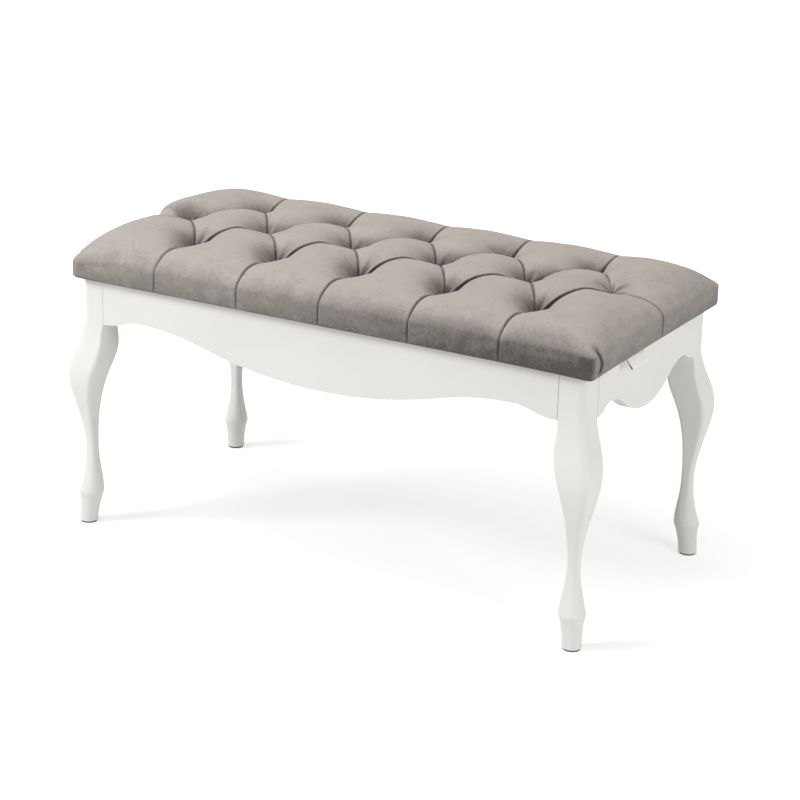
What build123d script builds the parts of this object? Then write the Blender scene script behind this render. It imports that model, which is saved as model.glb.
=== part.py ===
"""Upholstered piano bench: a deep-buttoned seat on a lacquered frame with cabriole legs.

Millimetres. X runs along the bench, the front faces -Y, Z is up. The origin is on the floor, under the
middle of the bench.
"""
from build123d import *
import math
import os

# Seat
SEAT_LENGTH = 900.0
SEAT_WIDTH = 450.0
SEAT_CORNER_RADIUS = 18.0
SEAT_OVERHANG = 15.0
WALL_PADDING = 7.5
CREST_HEIGHT = 75.0
TUFT_HEIGHT = 44.0
PLEAT_HEIGHT = 62.0
SHOULDER_HEIGHT = 58.0
SHOULDER_DIP = 7.0
SHOULDER_WIDTH = 30.0
END_ROLL = 62.0
END_LIP_SHARE = 0.15
LONG_ROW_COUNT = 6
ROW_SPACING_SHARE = 0.25
TUFT_GAP = 6.0
TUFT_DIMPLE = 0.6
STEPS_PER_TUFT = 6
END_STATIONS = (0.3, 0.55, 0.75, 0.9, 0.98, 1.0)

# Upholstery layers
COVER_THICKNESS = 1.5
HEM_WIDTH = 55.0
FOAM_CLEARANCE = 0.3
BOARD_THICKNESS = 16.0
BOARD_CLEARANCE = 2.5
DUST_COVER_THICKNESS = 0.8
DUST_COVER_CLEARANCE = 3.0
TWINE_DIAMETER = 3.0
TWINE_CLEARANCE = 1.0
TWINE_WASHER_DIAMETER = 14.0
TWINE_WASHER_THICKNESS = 1.0

# Frame
FRAME_TOP = 413.0
POST_WIDTH = 42.0
POST_OUTER_RADIUS = 15.0
POST_SIDE_RADIUS = 1.5
POST_INNER_RADIUS = 5.0
APRON_THICKNESS = 18.0
APRON_END_DEPTH = 76.0
APRON_ARCH_DEPTH = 64.0
FRONT_CENTRE_DEPTH = 108.5
SIDE_CENTRE_DEPTH = 105.5
FRONT_ARCH_SETBACK = 68.0
SIDE_ARCH_SETBACK = 40.0
OGEE_SHARE = 0.37
JOINT_GAP = 0.4

# Cabriole leg, at even steps from under the post down to the collar: width, inset of the centre from the
# post's outer faces, radius of the outer corner, radius of the other corners
COLLAR_HEIGHT = 52.0
LEG_CURVE = (
    (48.0, 17.5, 14.0, 4.0),
    (54.6, 12.0, 14.0, 7.0),
    (50.8, 5.5, 13.0, 7.0),
    (40.8, 3.5, 11.0, 6.0),
    (30.0, 4.4, 9.0, 5.0),
    (21.9, 6.5, 7.0, 4.5),
    (17.6, 8.0, 6.0, 5.0),
    (19.0, 8.5, 7.0, 6.5),
    (27.7, 8.3, 12.0, 11.5),
    (39.6, 6.0, 18.8, 18.8),
)
# Toe, at even steps from the collar down to the glide: width and inset of the centre
TOE_CURVE = ((32.4, 4.9), (29.4, 3.4), (28.4, 2.4))
TOE_ROUNDNESS = 0.95
GLIDE_THICKNESS = 3.0
GLIDE_DIAMETER = 26.0
GLIDE_NAIL_DIAMETER = 3.0
GLIDE_NAIL_LENGTH = 16.0

# Joinery
DOWEL_DIAMETER = 8.0
DOWEL_LENGTH = 36.0
DOWEL_TOP_OFFSET = 17.0
DOWEL_SPACING = 36.0
BLOCK_THICKNESS = 26.0
BLOCK_CLEARANCE = 1.0
BLOCK_HEIGHT = 32.0
BLOCK_DROP = 5.0
BLOCK_SCREW_DIAMETER = 4.0
BLOCK_SCREW_HEAD = 8.0
BLOCK_SCREW_HEAD_HEIGHT = 3.0
BLOCK_SCREW_SHARE = 0.4
BLOCK_SCREW_SEAT = 0.72
BLOCK_SCREW_COVER = 4.0
BOLT_DIAMETER = 8.0
BOLT_EMBED = 30.0
BOLT_TAIL = 5.0
WASHER_DIAMETER = 20.0
WASHER_THICKNESS = 1.6
NUT_ACROSS_FLATS = 13.0
NUT_HEIGHT = 6.5
SEAT_SCREW_DIAMETER = 5.0
SEAT_SCREW_HEAD = 10.0
SEAT_SCREW_HEAD_HEIGHT = 3.5
SEAT_SCREW_COVER = 4.0
FIT = 0.05
RUN_OUT = 1.0

# Cloth tag at the right end
TAG_LENGTH = 52.0
TAG_DROP = 16.0
TAG_THICKNESS = 1.0
TAG_CLEARANCE = 3.0
TAG_CENTRE = -78.0

# Derived sizes
FRAME_LENGTH = SEAT_LENGTH - 2 * SEAT_OVERHANG
FRAME_WIDTH = SEAT_WIDTH - 2 * SEAT_OVERHANG
HALF_FRAME_X = FRAME_LENGTH / 2
HALF_FRAME_Y = FRAME_WIDTH / 2
FRONT_HALF_SPAN = HALF_FRAME_X - POST_WIDTH - JOINT_GAP
SIDE_HALF_SPAN = HALF_FRAME_Y - POST_WIDTH - JOINT_GAP
POST_BOTTOM = FRAME_TOP - APRON_END_DEPTH
TUFT_PITCH = SEAT_LENGTH / LONG_ROW_COUNT
LAST_TUFT = SEAT_LENGTH / 2 - TUFT_PITCH / 2
TUFT_ROW_SPACING = ROW_SPACING_SHARE * SEAT_WIDTH
BOARD_BOTTOM = FRAME_TOP + COVER_THICKNESS
BOARD_TOP = BOARD_BOTTOM + BOARD_THICKNESS
SIDE_WALL = BOARD_TOP - FRAME_TOP + WALL_PADDING
CORNERS = {
    "front_left": (-1, -1),
    "front_right": (1, -1),
    "rear_left": (-1, 1),
    "rear_right": (1, 1),
}


def save(shape, node):
    """Writes one node, as one solid or as a group of separate solids."""
    export_step(shape, f"parts/{node}.step")


def at_corner(shape, corner):
    """Mirrors what is drawn at the front left corner to another corner."""
    side_x, side_y = CORNERS[corner]
    if side_x > 0:
        shape = shape.mirror(Plane.YZ)
    if side_y > 0:
        shape = shape.mirror(Plane.XZ)
    return shape


def at_all_corners(shape):
    return Compound([at_corner(shape, corner) for corner in CORNERS])


def rod(start, direction, diameter, length):
    """A round bar from a point along a direction."""
    plane = Plane(origin=start, z_dir=direction)
    return plane * Cylinder(diameter / 2, length, align=(Align.CENTER, Align.CENTER, Align.MIN))


# Cabriole legs
def leg_section(height, width, inset, radii):
    """A square with four corner radii, in the order outer, side, inner, side."""
    low = inset - width / 2
    high = inset + width / 2
    x0 = -HALF_FRAME_X
    y0 = -HALF_FRAME_Y
    corners = ((low, low, 1, 1), (high, low, -1, 1), (high, high, -1, -1), (low, high, 1, -1))
    arcs = []
    for k, ((u, v, in_u, in_v), radius) in enumerate(zip(corners, radii)):
        on_v = Vector(x0 + u, y0 + v + in_v * radius, height)
        on_u = Vector(x0 + u + in_u * radius, y0 + v, height)
        bow = radius * (1 - math.sqrt(0.5))
        middle = Vector(x0 + u + in_u * bow, y0 + v + in_v * bow, height)
        ends = (on_v, middle, on_u) if k % 2 == 0 else (on_u, middle, on_v)
        arcs.append(ends)
    edges = []
    for k, ends in enumerate(arcs):
        edges.append(Edge.make_three_point_arc(*ends))
        edges.append(Edge.make_line(ends[2], arcs[(k + 1) % 4][0]))
    return Wire(edges)


def even_steps(top, bottom, count):
    return [top + (bottom - top) * k / count for k in range(count + 1)]


def cabriole_leg():
    """Front left leg: post, S-curve and toe, with its dowel, bolt and nail holes."""
    post_radii = (POST_OUTER_RADIUS, POST_SIDE_RADIUS, POST_INNER_RADIUS, POST_SIDE_RADIUS)
    top = leg_section(POST_BOTTOM, POST_WIDTH, POST_WIDTH / 2, post_radii)
    leg = extrude(Face(top), FRAME_TOP - POST_BOTTOM, dir=(0, 0, 1))
    curve = [top]
    heights = even_steps(POST_BOTTOM, COLLAR_HEIGHT, len(LEG_CURVE))
    for height, (width, inset, outer, side) in zip(heights[1:], LEG_CURVE):
        curve.append(leg_section(height, width, inset, (outer, side, side, side)))
    toe = [curve[-1]]
    heights = even_steps(COLLAR_HEIGHT, GLIDE_THICKNESS, len(TOE_CURVE))
    for height, (width, inset) in zip(heights[1:], TOE_CURVE):
        toe.append(leg_section(height, width, inset, (TOE_ROUNDNESS * width / 2,) * 4))
    for sections in (curve, toe):
        leg += Solid.make_loft(sections)
    for hole in dowels_at_corner(FIT):
        leg -= hole
    leg -= hanger_bolt(FIT)
    leg -= foot_glide(FIT)
    return leg


def foot_glide(clearance=0.0):
    """Nail-on glide under the foot. With a clearance it is the nail's hole alone."""
    foot_inset = TOE_CURVE[-1][1]
    centre = (foot_inset - HALF_FRAME_X, foot_inset - HALF_FRAME_Y)
    nail = rod((*centre, 0), (0, 0, 1), GLIDE_NAIL_DIAMETER + 2 * clearance,
               GLIDE_THICKNESS + GLIDE_NAIL_LENGTH + clearance)
    if clearance:
        return nail
    return nail + rod((*centre, 0), (0, 0, 1), GLIDE_DIAMETER, GLIDE_THICKNESS)


# Aprons
def ogee(start, end, share):
    """Two tangent arcs between two level points, each arc with its share of the run."""
    run = end[0] - start[0]
    rise = end[1] - start[1]
    turn = (start[0] + share * run, start[1] + share * rise)
    radius = (run * run + rise * rise) / (2 * abs(rise))
    half_angle = math.asin(abs(run) / radius) / 2
    edges = []
    for point, part, sign in ((start, share, 1), (end, 1 - share, -1)):
        along = sign * math.copysign(part * radius * math.sin(half_angle), run)
        up = sign * math.copysign(part * radius * (1 - math.cos(half_angle)), rise)
        middle = (point[0] + along, point[1] + up)
        ends = (point, turn) if sign > 0 else (turn, point)
        edges.append(Edge.make_three_point_arc(ends[0], middle, ends[1]))
    return edges


def apron(half_span, arch_setback, centre_depth):
    """Apron drawn in X and Y, outer face at Z 0, thickness towards +Z, top edge at FRAME_TOP."""
    end = (half_span, FRAME_TOP - APRON_END_DEPTH)
    arch = (half_span - arch_setback, FRAME_TOP - APRON_ARCH_DEPTH)
    centre = (0, FRAME_TOP - centre_depth)
    right = ogee(end, arch, 1 - OGEE_SHARE) + ogee(arch, centre, OGEE_SHARE)
    left = [edge.mirror(Plane.YZ) for edge in right]
    top = Edge.make_line((-half_span, FRAME_TOP), (half_span, FRAME_TOP))
    ends = [Edge.make_line((side * half_span, FRAME_TOP), (side * half_span, end[1])) for side in (-1, 1)]
    face = Face(Wire(right + left + ends + [top]))
    return extrude(face, APRON_THICKNESS, dir=(0, 0, 1))


def front_apron():
    plane = Plane(origin=(0, -HALF_FRAME_Y, 0), x_dir=(-1, 0, 0), z_dir=(0, 1, 0))
    rail = plane * apron(FRONT_HALF_SPAN, FRONT_ARCH_SETBACK, FRONT_CENTRE_DEPTH)
    return drilled_apron(rail)


def left_apron():
    plane = Plane(origin=(-HALF_FRAME_X, 0, 0), x_dir=(0, 1, 0), z_dir=(1, 0, 0))
    rail = plane * apron(SIDE_HALF_SPAN, SIDE_ARCH_SETBACK, SIDE_CENTRE_DEPTH)
    return drilled_apron(rail)


def drilled_apron(rail):
    for corner in CORNERS:
        for hole in dowels_at_corner(FIT) + block_screws_at_corner(FIT):
            rail -= at_corner(hole, corner)
    return rail


def dowels_at_corner(clearance=0.0):
    """Four dowels at the front left corner, two into each apron, centred on the joint."""
    length = DOWEL_LENGTH + 2 * clearance
    diameter = DOWEL_DIAMETER + 2 * clearance
    middle = APRON_THICKNESS / 2
    joint = POST_WIDTH + JOINT_GAP / 2 - length / 2
    pegs = []
    for k in range(2):
        height = FRAME_TOP - DOWEL_TOP_OFFSET - k * DOWEL_SPACING
        along_x = (joint - HALF_FRAME_X, middle - HALF_FRAME_Y, height)
        along_y = (middle - HALF_FRAME_X, joint - HALF_FRAME_Y, height)
        pegs.append(rod(along_x, (1, 0, 0), diameter, length))
        pegs.append(rod(along_y, (0, 1, 0), diameter, length))
    return pegs


# Corner blocks and their fasteners
BLOCK_TOP = FRAME_TOP - BLOCK_DROP
BLOCK_MIDDLE = BLOCK_TOP - BLOCK_HEIGHT / 2
INNER_X = APRON_THICKNESS - HALF_FRAME_X
INNER_Y = APRON_THICKNESS - HALF_FRAME_Y
DIAGONAL = Vector(1, 1, 0).normalized()
# Along the diagonal from the aprons' inner corner: the post's corner and the block's two faces
POST_CORNER = (POST_WIDTH - APRON_THICKNESS) * math.sqrt(2)
BLOCK_BACK = POST_CORNER + BLOCK_CLEARANCE
BLOCK_FACE = BLOCK_BACK + BLOCK_THICKNESS
# Along an apron from the same corner: the block's two edges and its screw
BLOCK_NEAR = BLOCK_BACK * math.sqrt(2)
BLOCK_REACH = BLOCK_FACE * math.sqrt(2)
BLOCK_SCREW_OFFSET = BLOCK_NEAR + BLOCK_SCREW_SHARE * (BLOCK_REACH - BLOCK_NEAR)
BLOCK_SCREW_GRIP = BLOCK_SCREW_SEAT * (BLOCK_REACH - BLOCK_SCREW_OFFSET)
BLOCK_SCREW_LENGTH = BLOCK_SCREW_GRIP + APRON_THICKNESS - BLOCK_SCREW_COVER


def corner_block():
    """Brace across the front left corner, seated on the inner faces of both aprons."""
    plan = Polyline(
        (INNER_X, INNER_Y + BLOCK_NEAR),
        (INNER_X, INNER_Y + BLOCK_REACH),
        (INNER_X + BLOCK_REACH, INNER_Y),
        (INNER_X + BLOCK_NEAR, INNER_Y),
        close=True,
    )
    block = Pos(0, 0, BLOCK_TOP - BLOCK_HEIGHT) * extrude(make_face(plan), BLOCK_HEIGHT)
    block -= hanger_bolt(FIT)
    block -= seat_screw(FIT)
    for screw in block_screws_at_corner(FIT, RUN_OUT + BLOCK_REACH):
        block -= screw
    return block


def block_screws_at_corner(clearance=0.0, head_room=0.0):
    """Two screws square to the aprons. head_room lengthens the head into a counterbore."""
    screws = []
    shank = BLOCK_SCREW_DIAMETER + 2 * clearance
    head = BLOCK_SCREW_HEAD + 2 * clearance
    tail = BLOCK_SCREW_GRIP - BLOCK_SCREW_LENGTH - clearance
    for direction in (Vector(1, 0, 0), Vector(0, 1, 0)):
        offset = Vector(direction.Y, direction.X, 0) * BLOCK_SCREW_OFFSET
        seat = Vector(INNER_X, INNER_Y, BLOCK_MIDDLE) + offset
        screw = rod(seat + direction * tail, direction, shank, BLOCK_SCREW_LENGTH + clearance)
        under_head = seat + direction * (BLOCK_SCREW_GRIP - clearance)
        screws.append(screw + rod(under_head, direction, head, BLOCK_SCREW_HEAD_HEIGHT + head_room))
    return screws


def hanger_bolt(clearance=0.0):
    """Bolt on the corner's diagonal, from inside the post out through the block."""
    inner_end = POST_CORNER - BOLT_EMBED - clearance
    outer_end = BLOCK_FACE + WASHER_THICKNESS + NUT_HEIGHT + BOLT_TAIL
    start = Vector(INNER_X, INNER_Y, BLOCK_MIDDLE) + DIAGONAL * inner_end
    return rod(start, DIAGONAL, BOLT_DIAMETER + 2 * clearance, outer_end - inner_end)


def bolt_washer():
    seat = Vector(INNER_X, INNER_Y, BLOCK_MIDDLE) + DIAGONAL * BLOCK_FACE
    return rod(seat, DIAGONAL, WASHER_DIAMETER, WASHER_THICKNESS) - hanger_bolt(FIT)


def bolt_nut():
    seat = Vector(INNER_X, INNER_Y, BLOCK_MIDDLE) + DIAGONAL * (BLOCK_FACE + WASHER_THICKNESS)
    plane = Plane(origin=seat, z_dir=DIAGONAL)
    radius = NUT_ACROSS_FLATS / math.sqrt(3)
    return plane * extrude(RegularPolygon(radius, 6), NUT_HEIGHT) - hanger_bolt(FIT)


def seat_screw(clearance=0.0):
    """Screw up through the block beside the bolt, into the seat board."""
    side_step = BLOCK_REACH / 4
    middle = (BLOCK_NEAR + BLOCK_REACH) / 4
    spot = (INNER_X + middle + side_step, INNER_Y + middle - side_step)
    bottom = BLOCK_TOP - BLOCK_HEIGHT - SEAT_SCREW_HEAD_HEIGHT
    length = BOARD_TOP - SEAT_SCREW_COVER - bottom
    shank = rod((*spot, bottom), (0, 0, 1), SEAT_SCREW_DIAMETER + 2 * clearance, length + clearance)
    if clearance:
        return shank
    return shank + rod((*spot, bottom), (0, 0, 1), SEAT_SCREW_HEAD, SEAT_SCREW_HEAD_HEIGHT)


# Seat
def seat_plan(length, width, radius):
    return RectangleRounded(length, width, radius)


def tuft_points():
    """Three rows of tufts, the outer rows one shorter and half a pitch over."""
    points = []
    for row in (-1, 0, 1):
        count = LONG_ROW_COUNT - abs(row)
        for k in range(count):
            points.append(((k - (count - 1) / 2) * TUFT_PITCH, row * TUFT_ROW_SPACING))
    return points


def roll(distance):
    """Share of the crown that is left at a distance from the seat's end."""
    return max(END_LIP_SHARE, math.sin(math.pi / 2 * min(1.0, distance / END_ROLL)))


def half_width(distance):
    """Half the seat's width at a distance from its end, inside the rounded corners."""
    inward = max(0.0, SEAT_CORNER_RADIUS - distance)
    return SEAT_WIDTH / 2 - SEAT_CORNER_RADIUS + math.sqrt(SEAT_CORNER_RADIUS ** 2 - inward ** 2)


def cushion_section(x, inset, base):
    """Cross-section of the tufted form: flat base, upright sides, three crowned panels."""
    distance = SEAT_LENGTH / 2 - inset - abs(x)
    phase = abs((x / TUFT_PITCH) % 1.0 - 0.5) * 2
    if LONG_ROW_COUNT % 2:
        phase = 1 - phase
    beyond = max(0.0, abs(x) - LAST_TUFT)
    across = 0.0 if beyond else phase
    keep = roll(distance)
    wall = FRAME_TOP + SIDE_WALL - inset
    fold_share = 2 * (across * across + (1 - across) ** 2) - 1
    fold = PLEAT_HEIGHT + (TUFT_HEIGHT - PLEAT_HEIGHT) * fold_share
    if beyond:
        fold = TUFT_HEIGHT + (PLEAT_HEIGHT - TUFT_HEIGHT) * math.sin(math.pi * min(1, beyond / TUFT_PITCH))
    rise = (CREST_HEIGHT - TUFT_HEIGHT) * across ** 2 - TUFT_DIMPLE * (1 - across)
    crown = CREST_HEIGHT - (CREST_HEIGHT - PLEAT_HEIGHT) * across ** 2
    shoulder = SHOULDER_HEIGHT - SHOULDER_DIP * across ** 2

    def level(height):
        return wall + (height - SIDE_WALL) * keep

    side = half_width(distance) - inset
    step = SHOULDER_WIDTH * keep
    fold_y = TUFT_GAP / 2 + (TUFT_ROW_SPACING - TUFT_GAP / 2) * across
    climb = level(shoulder) - wall
    radius = (step * step + climb * climb) / (2 * step)
    swing = math.atan2(climb, radius - step) / 2
    corner = (side - radius + radius * math.cos(swing), wall + radius * math.sin(swing))
    crown_mid = ((side - step + fold_y) / 2, level(crown))
    half = [
        (side, base),
        (side, wall),
        corner,
        (side - step, level(shoulder)),
        crown_mid,
        (fold_y, level(fold)),
    ]

    def place(point, mirror):
        return Vector(x, mirror * point[0], point[1])

    a = [place(point, -1) for point in half]
    b = [place(point, 1) for point in half]
    middle = Vector(x, 0, level(fold + rise))
    return Wire([
        Edge.make_line(b[0], a[0]),
        Edge.make_line(a[0], a[1]),
        Edge.make_three_point_arc(a[1], a[2], a[3]),
        Edge.make_three_point_arc(a[3], a[4], a[5]),
        Edge.make_three_point_arc(a[5], middle, b[5]),
        Edge.make_three_point_arc(b[5], b[4], b[3]),
        Edge.make_three_point_arc(b[3], b[2], b[1]),
        Edge.make_line(b[1], b[0]),
    ])


def tufted_form(inset, base):
    """The cushion's outer form, drawn in by an inset, lofted from end to end."""
    steps = STEPS_PER_TUFT * (LONG_ROW_COUNT - 1)
    inner = [-LAST_TUFT + k * 2 * LAST_TUFT / steps for k in range(steps + 1)]
    reach = SEAT_LENGTH / 2 - inset - LAST_TUFT
    outer = [LAST_TUFT + reach * share for share in END_STATIONS]
    stations = [-x for x in reversed(outer)] + inner + outer
    return Solid.make_loft([cushion_section(x, inset, base) for x in stations], ruled=True)


def seat_cover():
    """Velvet cover over the foam, wrapped round the board's edge into a hem underneath."""
    outside = tufted_form(0.0, FRAME_TOP)
    inside = tufted_form(COVER_THICKNESS, BOARD_BOTTOM)
    opening = Pos(0, 0, FRAME_TOP) * extrude(
        seat_plan(SEAT_LENGTH - 2 * HEM_WIDTH, SEAT_WIDTH - 2 * HEM_WIDTH, SEAT_CORNER_RADIUS),
        BOARD_BOTTOM - FRAME_TOP + RUN_OUT,
    )
    return outside - inside - opening - at_all_corners(seat_screw(FIT))


def twine_holes():
    holes = [rod((x, y, BOARD_BOTTOM - RUN_OUT), (0, 0, 1), TWINE_DIAMETER + 2 * TWINE_CLEARANCE,
                 CREST_HEIGHT) for x, y in tuft_points()]
    return Compound(holes)


def seat_foam():
    return tufted_form(COVER_THICKNESS + FOAM_CLEARANCE, BOARD_TOP) - twine_holes()


def seat_board():
    gap = 2 * (COVER_THICKNESS + BOARD_CLEARANCE)
    plan = seat_plan(SEAT_LENGTH - gap, SEAT_WIDTH - gap, SEAT_CORNER_RADIUS)
    board = Pos(0, 0, BOARD_BOTTOM) * extrude(plan, BOARD_THICKNESS)
    board -= twine_holes()
    return board - at_all_corners(seat_screw(FIT))


def tufting_twines():
    """A twine at each tuft, from under the cover to a washer under the board."""
    top = FRAME_TOP + TUFT_HEIGHT - COVER_THICKNESS - TUFT_DIMPLE - FOAM_CLEARANCE
    bottom = BOARD_BOTTOM - TWINE_WASHER_THICKNESS
    twines = []
    for x, y in tuft_points():
        twine = rod((x, y, bottom), (0, 0, 1), TWINE_DIAMETER, top - bottom)
        washer = rod((x, y, bottom), (0, 0, 1), TWINE_WASHER_DIAMETER, TWINE_WASHER_THICKNESS)
        twines.append(twine + washer)
    return Compound(twines)


def dust_cover():
    """Thin cloth under the board, inside the aprons, notched round the posts."""
    gap = APRON_THICKNESS + DUST_COVER_CLEARANCE
    length = FRAME_LENGTH - 2 * gap
    width = FRAME_WIDTH - 2 * gap
    sheet = Box(length, width, DUST_COVER_THICKNESS, align=(Align.CENTER, Align.CENTER, Align.MIN))
    notch = 2 * (POST_WIDTH + DUST_COVER_CLEARANCE)
    for side_x, side_y in CORNERS.values():
        spot = Pos(side_x * HALF_FRAME_X, side_y * HALF_FRAME_Y, 0)
        sheet -= spot * Box(notch, notch, 2 * POST_WIDTH)
    sheet = Pos(0, 0, FRAME_TOP - DUST_COVER_THICKNESS) * sheet
    return sheet - at_all_corners(seat_screw(FIT))


def side_tag():
    """Blank cloth tag: a flap under the cushion's edge and a short drop."""
    outer = SEAT_LENGTH / 2
    flap_width = SEAT_OVERHANG - TAG_CLEARANCE
    flap = Pos(outer - flap_width / 2, TAG_CENTRE, FRAME_TOP - TAG_THICKNESS / 2)
    drop = Pos(outer - TAG_THICKNESS / 2, TAG_CENTRE, FRAME_TOP - TAG_DROP / 2)
    return flap * Box(flap_width, TAG_LENGTH, TAG_THICKNESS) + drop * Box(TAG_THICKNESS, TAG_LENGTH, TAG_DROP)


def main():
    os.makedirs("parts", exist_ok=True)
    leg = cabriole_leg()
    block = corner_block()
    glide = foot_glide()
    for corner in CORNERS:
        save(at_corner(leg, corner), f"leg_{corner}")
        save(at_corner(block, corner), f"corner_block_{corner}")
        save(at_corner(glide, corner), f"foot_glide_{corner}")
    front = front_apron()
    left = left_apron()
    save(front, "apron_front")
    save(front.mirror(Plane.XZ), "apron_rear")
    save(left, "apron_left")
    save(left.mirror(Plane.YZ), "apron_right")
    pegs = [at_corner(peg, corner) for corner in CORNERS for peg in dowels_at_corner()]
    screws = [at_corner(screw, corner) for corner in CORNERS for screw in block_screws_at_corner()]
    save(Compound(pegs), "apron_dowels")
    save(Compound(screws), "corner_block_screws")
    save(at_all_corners(hanger_bolt()), "hanger_bolts")
    save(at_all_corners(bolt_washer()), "bolt_washers")
    save(at_all_corners(bolt_nut()), "bolt_nuts")
    save(at_all_corners(seat_screw()), "seat_screws")
    save(seat_board(), "seat_board")
    save(seat_foam(), "seat_foam")
    save(seat_cover(), "seat_cover")
    save(tufting_twines(), "tufting_twines")
    save(dust_cover(), "dust_cover")
    save(side_tag(), "side_tag")


main()
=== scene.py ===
# %% [markdown]
# # A tufted piano bench, dressed in Blender
# The CAD part gives every piece its size and place. This script gives the pieces their looks: white lacquer on
# the wood, a velvet seat drawn down into diamonds, and the small things under the seat.
# Lengths below are in millimetres, as in the CAD, and `MM` turns them into Blender's metres.

# %% Load the frame
import math

import bmesh
import bpy
import numpy as np
from mathutils import Matrix, Vector


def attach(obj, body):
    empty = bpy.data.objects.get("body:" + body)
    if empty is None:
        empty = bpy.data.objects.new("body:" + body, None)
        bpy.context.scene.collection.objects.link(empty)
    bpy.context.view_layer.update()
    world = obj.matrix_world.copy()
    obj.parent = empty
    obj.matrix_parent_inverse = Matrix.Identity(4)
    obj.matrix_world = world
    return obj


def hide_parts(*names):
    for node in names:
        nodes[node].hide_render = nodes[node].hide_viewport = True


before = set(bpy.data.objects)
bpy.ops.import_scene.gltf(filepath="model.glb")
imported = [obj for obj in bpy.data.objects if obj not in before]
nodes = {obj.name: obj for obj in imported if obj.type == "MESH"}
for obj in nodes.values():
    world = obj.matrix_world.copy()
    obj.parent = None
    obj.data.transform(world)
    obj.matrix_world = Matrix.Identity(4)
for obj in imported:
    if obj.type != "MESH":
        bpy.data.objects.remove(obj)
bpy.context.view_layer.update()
MM = 0.001

# %% [markdown]
# ## Helpers
# A hex colour is how a screen shows it (sRGB), and a shader wants linear light, so one function converts. Node trees
# could be drawn by hand in the editor. Built by one small function that adds a node, sets it up and links it, they
# can be read from top to bottom.


# %% Colours and nodes
def colour(code):
    """Hex sRGB to linear RGBA."""
    parts = [int(code[k:k + 2], 16) / 255 for k in (1, 3, 5)]
    linear = [v / 12.92 if v <= 0.04045 else ((v + 0.055) / 1.055) ** 2.4 for v in parts]
    return (*linear, 1.0)


def add(tree, kind, inputs=(), **settings):
    """Adds a node with its settings and its inputs, which are given in their order or by name.

    An input is a constant, an output socket, or a node, which stands for its first output in use.
    """
    node = tree.nodes.new(kind)
    for key, value in settings.items():
        setattr(node, key, value)
    named = {socket.name: socket for socket in node.inputs if socket.enabled}
    for key, value in inputs.items() if isinstance(inputs, dict) else enumerate(inputs):
        socket = node.inputs[key] if isinstance(key, int) else named[key]
        if isinstance(value, bpy.types.Node):
            value = next(output for output in value.outputs if output.enabled)
        if isinstance(value, bpy.types.NodeSocket):
            tree.links.new(value, socket)
        else:
            socket.default_value = value
    return node


def new_material(name):
    """An empty node material, and its tree to fill."""
    material = bpy.data.materials.new(name)
    material.use_nodes = True
    material.node_tree.nodes.clear()
    return material, material.node_tree


print("a middle grey on the screen is", round(colour("#808080")[0], 3), "of white's light")

# %% [markdown]
# ## Camera
# The bench is seen from 30 degrees to its right and 19 degrees above, with a slight roll. A camera could be placed by
# eye, but then no edge of the render would lie where the photograph has it. So its place and lens were solved from
# measured points. The three axes of the camera make the columns of its matrix.

# %% Camera
AZIMUTH = math.radians(30.01)
ELEVATION = math.radians(19.08)
ROLL = math.radians(1.42)
TARGET = Vector((21.08, 0.0, 234.02))
DISTANCE = 3333.79
FOCAL_PIXELS = 2139.92
IMAGE_PIXELS = 800
SENSOR = 36.0

back = Vector((math.sin(AZIMUTH) * math.cos(ELEVATION), -math.cos(AZIMUTH) * math.cos(ELEVATION),
               math.sin(ELEVATION)))
level = Vector((0, 0, 1)).cross(back).normalized()
above = back.cross(level)
right = level * math.cos(ROLL) + above * math.sin(ROLL)
up = above * math.cos(ROLL) - level * math.sin(ROLL)
camera_data = bpy.data.cameras.new("camera")
camera_data.sensor_width = SENSOR
camera_data.lens = SENSOR * FOCAL_PIXELS / IMAGE_PIXELS
camera = bpy.data.objects.new("camera", camera_data)
bpy.context.scene.collection.objects.link(camera)
place = (TARGET + back * DISTANCE) * MM
camera.matrix_world = Matrix.Translation(place) @ Matrix((right, up, back)).transposed().to_4x4()
bpy.context.scene.camera = camera
print("camera at", [round(v, 3) for v in place], "lens", round(camera_data.lens, 2))

# %% [markdown]
# ## Floor and light
# The photograph stands on white, without a horizon. A pale world lights everything evenly, and three soft lamps give
# the seat and the legs their shading. A floor lit until it is white would lose the shadows at the feet. So the floor
# is pale grey and glows a little, more so further out, and only for rays that look at it.

# %% Floor
FLOOR_SIZE, FLOOR_COLOUR, FLOOR_GLOW = 40.0, "#e4e4e4", 0.53
GLOW_NEAR, GLOW_FAR = 0.6, 2.2
WHITE, WORLD_STRENGTH = colour("#ffffff"), 0.35
scene = bpy.context.scene


def looked_at(tree):
    """1 for rays from the camera, in a reflection or through glass, and 0 for rays that light things."""
    path = add(tree, "ShaderNodeLightPath").outputs
    first = add(tree, "ShaderNodeMath", (path["Is Camera Ray"], path["Is Glossy Ray"]), operation="MAXIMUM")
    return add(tree, "ShaderNodeMath", (first, path["Is Transmission Ray"]), operation="MAXIMUM")


scene.view_settings.view_transform = "Standard"
world = bpy.data.worlds.new("studio")
scene.world = world
world.use_nodes = True
tree = world.node_tree
tree.nodes.clear()
lit = add(tree, "ShaderNodeBackground", {"Color": WHITE, "Strength": WORLD_STRENGTH})
seen = add(tree, "ShaderNodeBackground", {"Color": WHITE, "Strength": 1.0})
pick = add(tree, "ShaderNodeMixShader", (looked_at(tree), lit, seen))
add(tree, "ShaderNodeOutputWorld", {"Surface": pick})

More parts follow.
